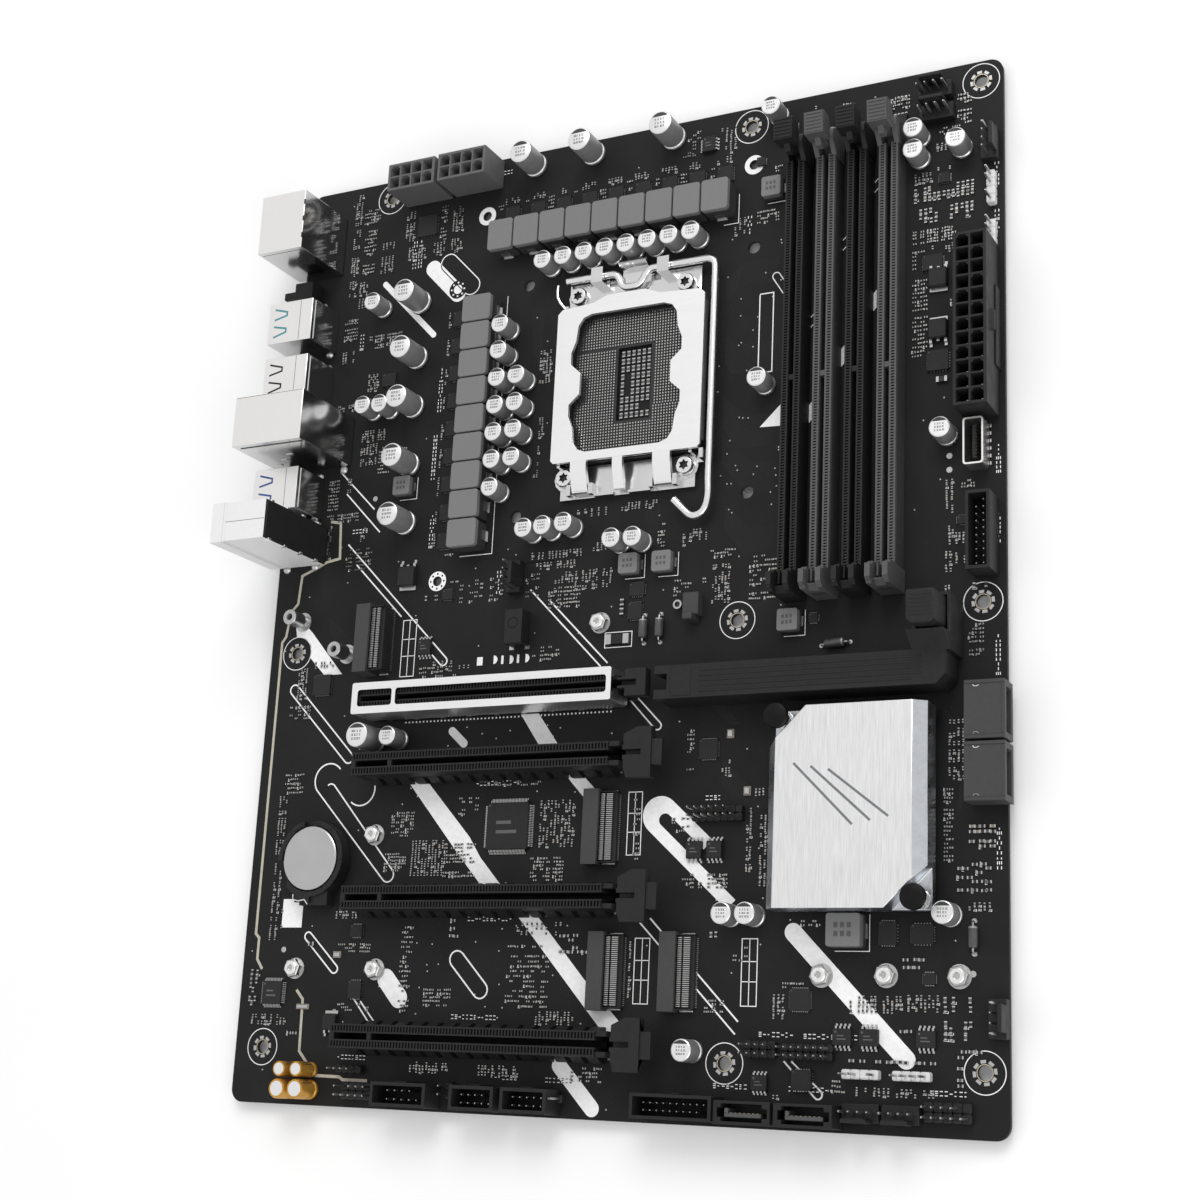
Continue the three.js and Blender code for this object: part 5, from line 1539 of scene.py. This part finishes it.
def diode(form, x, y, turn):
    """A leaded diode lying on two solder pads."""
    with form.at(x, y, 0, turn):
        form.roll(0, 1.35, ((-2.9, 0.8), (-2.7, 1.15), (-2.2, 1.3), (2.2, 1.3), (2.7, 1.15), (2.9, 0.8)),
                  ["diode_glass"] * 3 + ["can_side", "diode_glass"], 16)
        for side in BOTH:
            form.tube([(side * 2.8, 0, 1.35), (side * 3.7, 0, 1.3), (side * 4.1, 0, 0.9), (side * 4.2, 0, 0)],
                      0.3, "tin", 8)
            form.lathe(side * 4.3, 0, [(0.8, -0.02), (0.6, 0.25)], "tin", 12)


def crystal(form, x, y, width, depth, turn=0):
    with form.at(x, y, 0, turn):
        form.box(0, 0, width / 2, depth / 2, 0.05, 0.5, "ceramic", 0.08)
        lid = rounded(*shrunk(-width / 2, width / 2, -depth / 2, depth / 2, 0.35), 0.3, 3)
        form.prism(lid, 0.45, 0.85, "nut", 0.1)


FOUR_SIDES, TWO_SIDES = (0, 90, 180, 270), (90, 270)
CHIPS = (
    # package: x, y, width, depth, height, sides with leads, pitch, leads a side, reach
    (package, (-28.7, -69.5, 14, 14, 1.6, FOUR_SIDES, 0.5, 25, 1.3),
     (-109.3, -119.4, 7, 7, 1.4, FOUR_SIDES, 0.55, 12, 1),
     *((x, -77.6, 4.6, 4.9, 1.7, TWO_SIDES, 1.27, 4, 1.2) for x in (32.4, 38.6)),
     *((x, -127.9, 5.2, 4.4, 1.6, TWO_SIDES, 1.2, 4, 1.3) for x in (77.2, 84.6, 100.2)),
     (53.8, -140.6, 4.6, 4.2, 1.5, TWO_SIDES, 1.1, 4, 1), (-62.5, -12.6, 4.6, 4.8, 1.6, TWO_SIDES, 1.2, 4, 1.2)),
    (chip_part, (4.9, -14.5, 3, 7.6, 1.2, 0, "epoxy")),
    (package, (91.2, 137.6, 4.4, 4.2, 1.6, TWO_SIDES, 1.1, 4, 1.1),
     (29.2, 142.5, 4.2, 5, 1.6, (0, 180), 1.1, 4, 1.1)),
    # leadless: x, y, width, depth, pads, height
    (leadless, (-100.6, -22.5, 6.6, 6.6, 10), (35.6, -48.8, 5.8, 5.8, 9), (-73.4, 133.2, 7.4, 7.4, 10),
     (-84, 79.6, 5.2, 4.6), (-79, -118, 4.6, 5.4), (-80, -100.4, 4.2, 3.8), (101.2, 90.8, 6, 4.8),
     (102.8, 60.4, 6.4, 6.2), (104.6, 117, 3.4, 3.2), (89.4, -100.6, 5, 6.4), (98.9, -100.8, 6.2, 5.4),
     (65.9, -139.4, 5.6, 5.4, 6, 1.4), (64.8, -118.4, 6, 6, 9, 0.7), (100.8, -112.4, 3.4, 3.2), (10.6, 0.4, 5, 4),
     (10.2, -6.2, 4.6, 5.2), (66.6, -12.4, 2.8, 2.8), (57, 143, 3, 3.6), (46.8, 133.4, 2.8, 2.8),
     (-55.6, 4, 3.8, 3.4), (110.2, 12.4, 3.8, 2.6),
     *(place for k in range(9) for place in ((-40.6 + STAGE_PITCH * k, 131.4, 5.2, 5.4, 8, 0.9),
                                             (-58.2, 21.8 + STAGE_PITCH * k, 4.8, 5.2, 8, 0.9)))),
    (power_package, (103, 85.4, 0), (103, 69.6, 180), (-70.8, 10.9, 0, 1.1), (-86.8, -127.8, 180, 0.85)),
    (diode, (13.4, -12, 90), (18.7, -12, 90), (73.4, -20.4, 4), (112.8, -101.6, 90), (66.6, 139.4, 3)),
    (crystal, (42.2, -44.6, 2.6, 2.2, 90), (47.8, -61.2, 2.6, 2.2, 90), (-86.6, -107.6, 2.8, 2),
     (-97.8, -123.4, 4.6, 1.6)),
)


def chips():
    form = Form()
    make_all(form, CHIPS)
    # A tall black spacer with a round well, above the first slot.
    form.block(-31.6, -25.6, -14.6, -3.8, 0.05, 5.4, "black_plastic", 0.25)
    # The well is painted near-black as shade.
    form.lathe(-28.6, -8.2, [(1.9, 5.35), (1.8, 5.42), (1.5, 5.42), (1.4, 4.2)], "deep_plastic", 22)
    for x in (-32.2, -26.8):
        form.block(x, x + 1.6, -15.4, -14.2, 0, 0.3, "tin")
    # A small upright switch with a round hole near the middle stand-off hole.
    form.block(26.9, 31.9, -9.4, -2.6, 0.05, 3.4, "slate_plastic", 0.3)
    form.block(27.9, 30.9, -11.2, -9.2, 0.05, 5.6, "slate_plastic", 0.3)
    form.ring(24.9, -5.8, 1.4, 0.85, 20, 1.9, 2.5, "tin")
    form.block(24.6, 27.2, -6.1, -5.5, 0.0, 2.0, "slate_plastic")
    piece("chips", form)


chips()


PART_SIZES = {"s": (0.5, 1.0, 0.36), "m": (0.8, 1.55, 0.5), "l": (1.25, 2.0, 0.7), "xl": (1.6, 3.2, 1.1)}
# Clusters of small parts: x0, x1, y0, y1, columns, rows, share kept, turn (0), size ("s").
CLUSTERS = (
    # round the power stages
    *((-46.4 + STAGE_PITCH * k, -43.6 + STAGE_PITCH * k, 128.6, 136, 3, 6, 0.8) for k in range(9)),
    *((-44.0 + STAGE_PITCH * k, -38.6 + STAGE_PITCH * k, 135.6, 137.6, 5, 2, 0.85, 90) for k in range(9)),
    *((-62.6, -61, 18.4 + STAGE_PITCH * k, 24.6 + STAGE_PITCH * k, 2, 6, 0.8, 90) for k in range(9)),
    *((-57.6, -55, 16.8 + STAGE_PITCH * k, 18.0 + STAGE_PITCH * k, 3, 2, 0.85) for k in range(9)),
    # rear connector side
    (-103.6, -100.6, 112, 150, 3, 26, 0.75, 90), (-98.6, -94, 118, 136, 4, 13, 0.75),
    (-82, -66, 122, 126.6, 13, 4, 0.8, 90), (-68.4, -66, 124, 140, 2, 12, 0.85),
    (-64, -59.6, 121.6, 138.6, 4, 13, 0.8, 90), (-82.6, -78.4, 128.6, 142.6, 3, 10, 0.8, 90),
    (-91.6, -86, 118.6, 130, 4, 9, 0.8, 90), (-99.6, -93, 138, 143.6, 5, 5, 0.75),
    (-99.6, -95.6, 106, 117, 3, 9, 0.8, 90), (-104, -98.6, 96, 104, 4, 7, 0.8), (-104, -97, 88, 92, 7, 4, 0.85, 90),
    (-94.6, -80.6, 91.4, 96.6, 12, 5, 0.7), (-92.6, -88.6, 76.6, 82.6, 5, 6, 0.75, 90),
    (-104, -94, 70.6, 73, 7, 3, 0.8), (-93.6, -84, 59, 62.6, 9, 4, 0.8, 90), (-86, -81.6, 47, 56.6, 4, 8, 0.75),
    (-93.6, -86.6, 50.6, 58, 6, 6, 0.8, 90), (-104.6, -100.6, 36, 47, 4, 9, 0.75),
    (-104.6, -102, 20, 31, 3, 10, 0.8, 90), (-95.6, -85.6, 14.6, 22.6, 8, 6, 0.6),
    (-91, -88.6, 24.6, 30, 2, 6, 0.7, 90), (-97.6, -95.6, 42, 46.6, 2, 5, 0.9, 90),
    (-104.6, -92, 31.6, 35, 9, 3, 0.7),
    # left of the socket and round the memory feed
    (-27.6, -23, 70.6, 82, 4, 9, 0.7, 90), (-28.6, -24.6, 52.6, 62.6, 4, 9, 0.8, 90),
    (-27.6, -25.6, 38, 50, 2, 9, 0.7, 90), (-12, 0, 24.6, 27.6, 5, 2, 0.6, 90), (3.6, 17.6, 25.6, 28, 12, 2, 0.8, 90),
    (-26.6, -8.6, 12.6, 15, 15, 2, 0.9, 90), (-24.6, -10.6, 9.4, 11.6, 12, 2, 0.9, 90),
    (-7, 0, 13.6, 16.6, 5, 2, 0.8, 90), (16.6, 19, 12.6, 20.6, 2, 7, 0.8), (33, 42, 8, 10.6, 8, 3, 0.7),
    (38, 42.6, 108.6, 116, 3, 5, 0.7, 90), (44.6, 53, 112.6, 117, 7, 4, 0.7), (46, 54, 128.6, 131.6, 6, 2, 0.7),
    (19.8, 26.2, 139.6, 148.6, 4, 8, 0.7), (32.6, 38.6, 138.6, 147.6, 4, 7, 0.75, 90),
    # the dense field between the memory slots and the power connector
    (95.2, 108, 116.6, 120.6, 11, 4, 0.85, 90), (95.2, 113.6, 110.6, 114.6, 13, 4, 0.9, 90, "m"),
    (95.2, 113.6, 103.6, 108, 12, 3, 0.85, 90, "m"), (95.2, 108, 97, 101.6, 12, 5, 0.85),
    (95.2, 99.4, 62, 95.4, 5, 26, 0.8), (100.6, 108.6, 93.6, 96, 8, 3, 0.8, 90), (106.4, 109.4, 76, 80, 3, 4, 0.8),
    (103, 113, 130.6, 133.4, 8, 3, 0.75), (100.6, 105.6, 126, 129, 4, 4, 0.8, 90),
    (108.6, 112.6, 131.6, 143.6, 4, 9, 0.8), (88, 94, 140.6, 146.6, 5, 5, 0.75), (63.6, 66, 137, 149, 2, 8, 0.5, 90),
    (71.6, 77, 137.6, 148, 4, 7, 0.6), (82.6, 84.6, 137.6, 148, 2, 8, 0.7, 90),
    # right edge
    (104.6, 107.6, 14.6, 24.6, 2, 8, 0.9, 90), (104.6, 111.6, 5.6, 11, 7, 5, 0.85, 90),
    (104.6, 107, -3, 3.6, 2, 7, 0.85, 90), (107.6, 112, 0, 3, 4, 3, 0.8, 90), (109.6, 114, 21.6, 24, 5, 3, 0.8),
    (104.6, 106.6, -10, -6, 2, 4, 0.8, 90), (112.6, 118, -8.4, -6, 5, 2, 0.8, 90, "m"),
    (111.6, 115.6, -26.6, -17, 4, 8, 0.75), (105.6, 110.6, -60, -43.6, 4, 14, 0.75, 90),
    (104.8, 107, -82, -62, 3, 18, 0.7), (111.6, 118.6, -78.6, -72, 5, 5, 0.75, 0, "m"),
    (108.6, 118.6, -90, -82, 8, 7, 0.7, 0, "m"), (105.6, 117.6, -94.6, -92.6, 9, 2, 0.9, 90),
    # lower right field
    (93.6, 99.6, -110, -107, 4, 3, 0.7, 0, "m"), (94.6, 103.6, -121, -116.6, 8, 4, 0.75, 90),
    (104.6, 114.6, -120.6, -116, 9, 4, 0.75, 90, "m"), (104.6, 112.6, -128, -123, 6, 3, 0.8, 90, "m"),
    (108.6, 114.6, -140, -130, 6, 7, 0.75, 0, "m"), (78.6, 93.6, -121.6, -117, 13, 4, 0.8, 90),
    (79, 99.6, -126.4, -124.6, 12, 2, 0.85, 0, "m"), (79, 102.6, -134.6, -133.2, 16, 1, 0.8, 0, "m"),
    (56.6, 60.6, -123.6, -117, 3, 6, 0.8, 90), (59.6, 68.6, -115.6, -113.6, 7, 2, 0.8),
    (73, 78, -142.6, -138.6, 4, 3, 0.8), (80.6, 102.6, -142.8, -140.6, 18, 2, 0.8, 90),
    (52.6, 60.6, -145, -143, 7, 1, 0.8, 90), (44.6, 49.6, -108.6, -104, 3, 4, 0.6),
    # between the expansion slots
    (-85.6, -70.6, -27.6, -22.6, 9, 4, 0.5), (-64.6, -50.6, -22.6, -18.6, 9, 3, 0.5),
    (-62.6, -22.6, 0.6, 8.6, 22, 6, 0.45), (-20.6, -8.6, -3.6, 3.6, 11, 6, 0.75), (-18, 2, 2, 8, 17, 5, 0.7, 90),
    (-24, -14.6, -19.6, -14.6, 7, 4, 0.6), (-60, -44, -22, -17, 10, 3, 0.4, 90),
    (-34.6, -18.6, -57.4, -56, 14, 2, 0.5), (-46.6, -39.6, -66, -60, 6, 5, 0.6),
    (-18.6, -6.6, -76, -62, 10, 12, 0.55, 90), (-50.6, -39.6, -84.6, -74, 10, 10, 0.7),
    (-20.6, -8.6, -86, -78.6, 11, 7, 0.6), (12.6, 14.6, -84.6, -62, 2, 16, 0.6), (-70.6, -62, -72, -64, 5, 8, 0.7),
    (-62.6, -50.6, -84, -73, 10, 8, 0.8, 90), (-72, -64, -82.6, -76.6, 6, 6, 0.75),
    (42.6, 44.6, -72, -64.6, 2, 8, 0.8), (24.6, 30.6, -72.6, -68, 4, 4, 0.7),
    (47.6, 56.6, -62.6, -60.6, 8, 2, 0.9, 90), (47.6, 49.6, -84, -66, 2, 15, 0.8, 90),
    (51.6, 55.6, -88, -68, 3, 16, 0.75, 90), (28.6, 42.6, -88.6, -84, 11, 4, 0.75),
    (28.6, 31, -55, -42.6, 2, 10, 0.6), (39.6, 42.6, -56.6, -51, 3, 5, 0.7, 90), (64.6, 72.6, -99, -97, 7, 2, 0.6),
    (37.6, 44, -101.6, -99.6, 5, 2, 0.6, 90, "m"),
    # between the lower slots
    (-63.6, -59.6, -124.6, -98.6, 4, 18, 0.6), (-54.6, -44, -122.6, -117, 9, 5, 0.7),
    (-46.6, -42.6, -103.6, -96.6, 3, 6, 0.6, 0, "m"), (-26.6, -12.6, -122.6, -104, 12, 13, 0.6),
    (-24.6, -8.6, -101.6, -97.6, 10, 3, 0.6, 90), (-16.6, -3.6, -127, -123, 11, 3, 0.7, 90),
    (12.6, 13.9, -120, -103, 1, 14, 0.7, 90), (36.6, 42.6, -122.6, -118.6, 5, 4, 0.7),
    (-9.6, -0.6, -108, -101, 6, 6, 0.5, 0, "m"),
    # sound corner and lower left
    (-113.6, -107.6, -104.6, -78, 3, 22, 0.75, 90), (-113.6, -110, -76.6, -58, 3, 16, 0.75, 90),
    (-118.6, -115.6, -124.6, -112.6, 3, 9, 0.75, 90, "m"), (-117, -104, -129, -126, 11, 3, 0.8, 90),
    (-102.6, -98.6, -132, -129.6, 4, 2, 0.8, 0, "m"), (-88.6, -76.6, -96.6, -93.6, 10, 3, 0.7, 90),
    (-86.6, -74.6, -107, -104, 9, 3, 0.65), (-86.6, -73.6, -124.6, -122, 9, 3, 0.7),
    (-58, -44.6, -141.6, -138.6, 12, 3, 0.7, 90), (-34.6, -20.6, -141.6, -138.8, 12, 3, 0.7, 90),
    (-4, 6, -142.6, -138, 8, 4, 0.7), (-112.6, -104.6, -33.6, -28.6, 7, 4, 0.7),
    (-110.6, -106.6, -26.6, -16.6, 4, 8, 0.75, 90), (-104.6, -95.6, -18, -14.6, 8, 3, 0.7, 90),
    (-112, -104.6, -57.6, -50.6, 6, 5, 0.65), (46, 56, -26, -20, 8, 5, 0.7), (34.6, 40.6, -6, 6, 6, 10, 0.6, 90),
    (46.6, 55, -6, 8, 7, 10, 0.6), (66.6, 82.6, -16.6, -9.6, 12, 6, 0.75, 90), (22.6, 33, -3, 2.6, 9, 5, 0.55),
    (54.6, 56, -17, -10, 1, 5, 0.9, 0, "m"), (24.6, 33, 12.6, 17.6, 8, 4, 0.5, 90),
)


def keep_outs():
    """Rectangles on the board that are taken by larger parts."""
    taken = []
    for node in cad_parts:
        x0, x1, y0, y1, z0, _ = limits(node)
        if node in ("pcb", "socket_backplate", "load_lever") or z0 > TOP + 4:
            continue
        taken.append((x0 - 0.7, x1 + 0.7, y0 - 0.7, y1 + 0.7))
    round_parts = [(x, y, 4.9) for x, y in LARGE_CAPS]
    round_parts += [(x, y, 3.9) for x, y in SMALL_CAPS + MOUNT_HOLES + RINGED_HOLES + COOLER_HOLES]
    round_parts += [(x, y, r + 1.2) for x, y, _, r in STANDOFFS]
    taken += [(x - reach, x + reach, y - reach, y + reach) for x, y, reach in round_parts]
    for name in ("chips", "coils", "pin_headers", "lower_box_headers", "lighting_headers", "audio_capacitors"):
        taken += islands(bpy.data.objects[name].data)
    return taken


def islands(mesh):
    """Coarse footprints of a mesh: the board cells that its vertices touch."""
    cells = {(math.floor(v.co.x / MM), math.floor(v.co.y / MM)) for v in mesh.vertices}
    return [(x - 0.4, x + 1.4, y - 0.4, y + 1.4) for x, y in cells]


def bracket(form, x, y, reach, half, turn):
    """A thin printed corner mark beside a part."""
    with form.at(x, y, 0, turn):
        form.line([(-reach, half), (-reach - 0.12, -half), (-reach + 0.45, -half)], 0.13)


GRID = 8


def small_parts():
    grid = {}

    def store(box):
        for gx in range(int(box[0] // GRID), int(box[1] // GRID) + 1):
            for gy in range(int(box[2] // GRID), int(box[3] // GRID) + 1):
                grid.setdefault((gx, gy), []).append(box)

    def free(x, y, reach):
        if abs(x) > 121 - reach or abs(y) > 151.5 - reach:
            return False
        near = grid.get((int(x // GRID), int(y // GRID)), [])
        return not any(b[0] - reach < x < b[1] + reach and b[2] - reach < y < b[3] + reach for b in near)

    def claim(x, y, reach):
        store((x - reach, x + reach, y - reach, y + reach))

    for box in keep_outs():
        store(box)
    form = Form()
    for x0, x1, y0, y1, columns, rows, share, *rest in CLUSTERS:
        turn, size = rest + [0, "s"][len(rest):]
        width, length, high = PART_SIZES[size]
        banded = rows >= columns
        skipped = {k for k in range(rows if banded else columns) if rng.random() < 0.16}
        for i in range(columns):
            for j in range(rows):
                x = x0 + (x1 - x0) * (i + 0.5) / columns + rng.uniform(-0.1, 0.1)
                y = y0 + (y1 - y0) * (j + 0.5) / rows + rng.uniform(-0.1, 0.1)
                draw, kind = rng.random(), rng.random()
                if draw > share or (j if banded else i) in skipped or not free(x, y, length * 0.4):
                    continue
                if kind < 0.2:
                    bracket(form, x, y, length * 0.62, width * 0.85, turn)
                body = "resistor" if kind < 0.62 else ("ceramic" if kind < 0.72 else "ceramic_dark")
                chip_part(form, x, y, width, length, high * (0.7 if body == "resistor" else 1.1), turn, body)
                claim(x, y, length * 0.42)
    # Thicker blocks that stand out beside the coils and regulators.
    extras = ((51.6, -12.4, "l", 90), (51.6, -15.4, "l", 90), (5.8, -3.2, "l", 90), (5.8, -6.0, "l", 90),
              (104.0, 54.4, "xl", 0), (102.6, 92.6, "l", 0),
              (83.8, -125.8, "l", 90), (92.6, -125.8, "l", 90), (99.0, -125.8, "l", 90), (86.4, -133.2, "l", 0),
              (-63.6, 3.4, "m", 90), (-96.4, -104.4, "l", 0), (62.6, -23.6, "m", 90))
    for x, y, size, turn in extras:
        if free(x, y, 0.6):
            width, length, high = PART_SIZES[size]
            chip_part(form, x, y, width, length, high, turn, "resistor")
            claim(x, y, length * 0.5)
    piece("small_parts", form, sharp=30)

    dots = Form()
    fields = ((-120, 120, -150, 150, 900), (34, 56, 20, 110, 120), (-66, 8, -60, -38, 60), (-70, 0, -126, -98, 90))
    for x0, x1, y0, y1, count in fields:
        for _ in range(count):
            x, y = rng.uniform(x0, x1), rng.uniform(y0, y1)
            if free(x, y, 0.4):
                dots.lathe(x, y, [(0.26, -0.01), (0.22, 0.03)], "mask_trace" if rng.random() < 0.75 else "tin", 7)
    piece("vias", dots)


small_parts()


# ================================================================= studio
FLOOR_HALF = 3.0
WORLD_LIGHT = 0.86
LENS, SENSOR = 57.583, 36.0
CAMERA_PLACE = (0.25737, -0.14810, 0.49508)
CAMERA_ANGLES = (16.0902, 26.9817, 3.0163)
LIGHTS = (("key", (0.35, 1.15, 1.25), 0.9, 12.0), ("fill", (0.95, -0.85, 0.75), 1.0, 5.0))  # place, size, power


def studio():
    floor = bpy.data.meshes.new("floor")
    low = CAD_BOX[0][2] - 0.02 * MM
    corners = [(x, y, low) for x, y in rectangle(-FLOOR_HALF, FLOOR_HALF, -FLOOR_HALF, FLOOR_HALF)]
    floor.from_pydata(corners, [], [[0, 1, 2, 3]])
    paper = look_material("floor_paper", grey(0.86), 0.8, spread=0.01, grain=8.0, bump=0.02, specular=0.1)
    floor.materials.append(paper)
    ground = bpy.data.objects.new("floor", floor)
    bpy.context.scene.collection.objects.link(ground)
    ground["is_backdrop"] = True

    world = bpy.data.worlds.new("studio")
    world.use_nodes = True
    sky = world.node_tree.nodes["Background"]
    sky.inputs["Color"].default_value = (1.0, 1.0, 1.0, 1.0)
    sky.inputs["Strength"].default_value = WORLD_LIGHT
    bpy.context.scene.world = world

    for name, place, size, power in LIGHTS:
        data = bpy.data.lights.new(name, "AREA")
        data.shape = "RECTANGLE"
        data.size = data.size_y = size
        data.energy = power
        lamp = bpy.data.objects.new(name, data)
        lamp.location = place
        lamp.rotation_euler = (-Vector(place)).to_track_quat("-Z", "Y").to_euler()
        bpy.context.scene.collection.objects.link(lamp)

    data = bpy.data.cameras.new("camera")
    data.lens, data.sensor_width = LENS, SENSOR
    data.clip_start = 0.01
    camera = bpy.data.objects.new("camera", data)
    camera.location = CAMERA_PLACE
    camera.rotation_euler = [math.radians(angle) for angle in CAMERA_ANGLES]
    bpy.context.scene.collection.objects.link(camera)
    bpy.context.scene.camera = camera
    bpy.context.scene.view_settings.view_transform = "Standard"


studio()

plain = lambda box: [list(corner) for corner in box]
{"cad": plain(CAD_BOX), "visual": plain(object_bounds())}
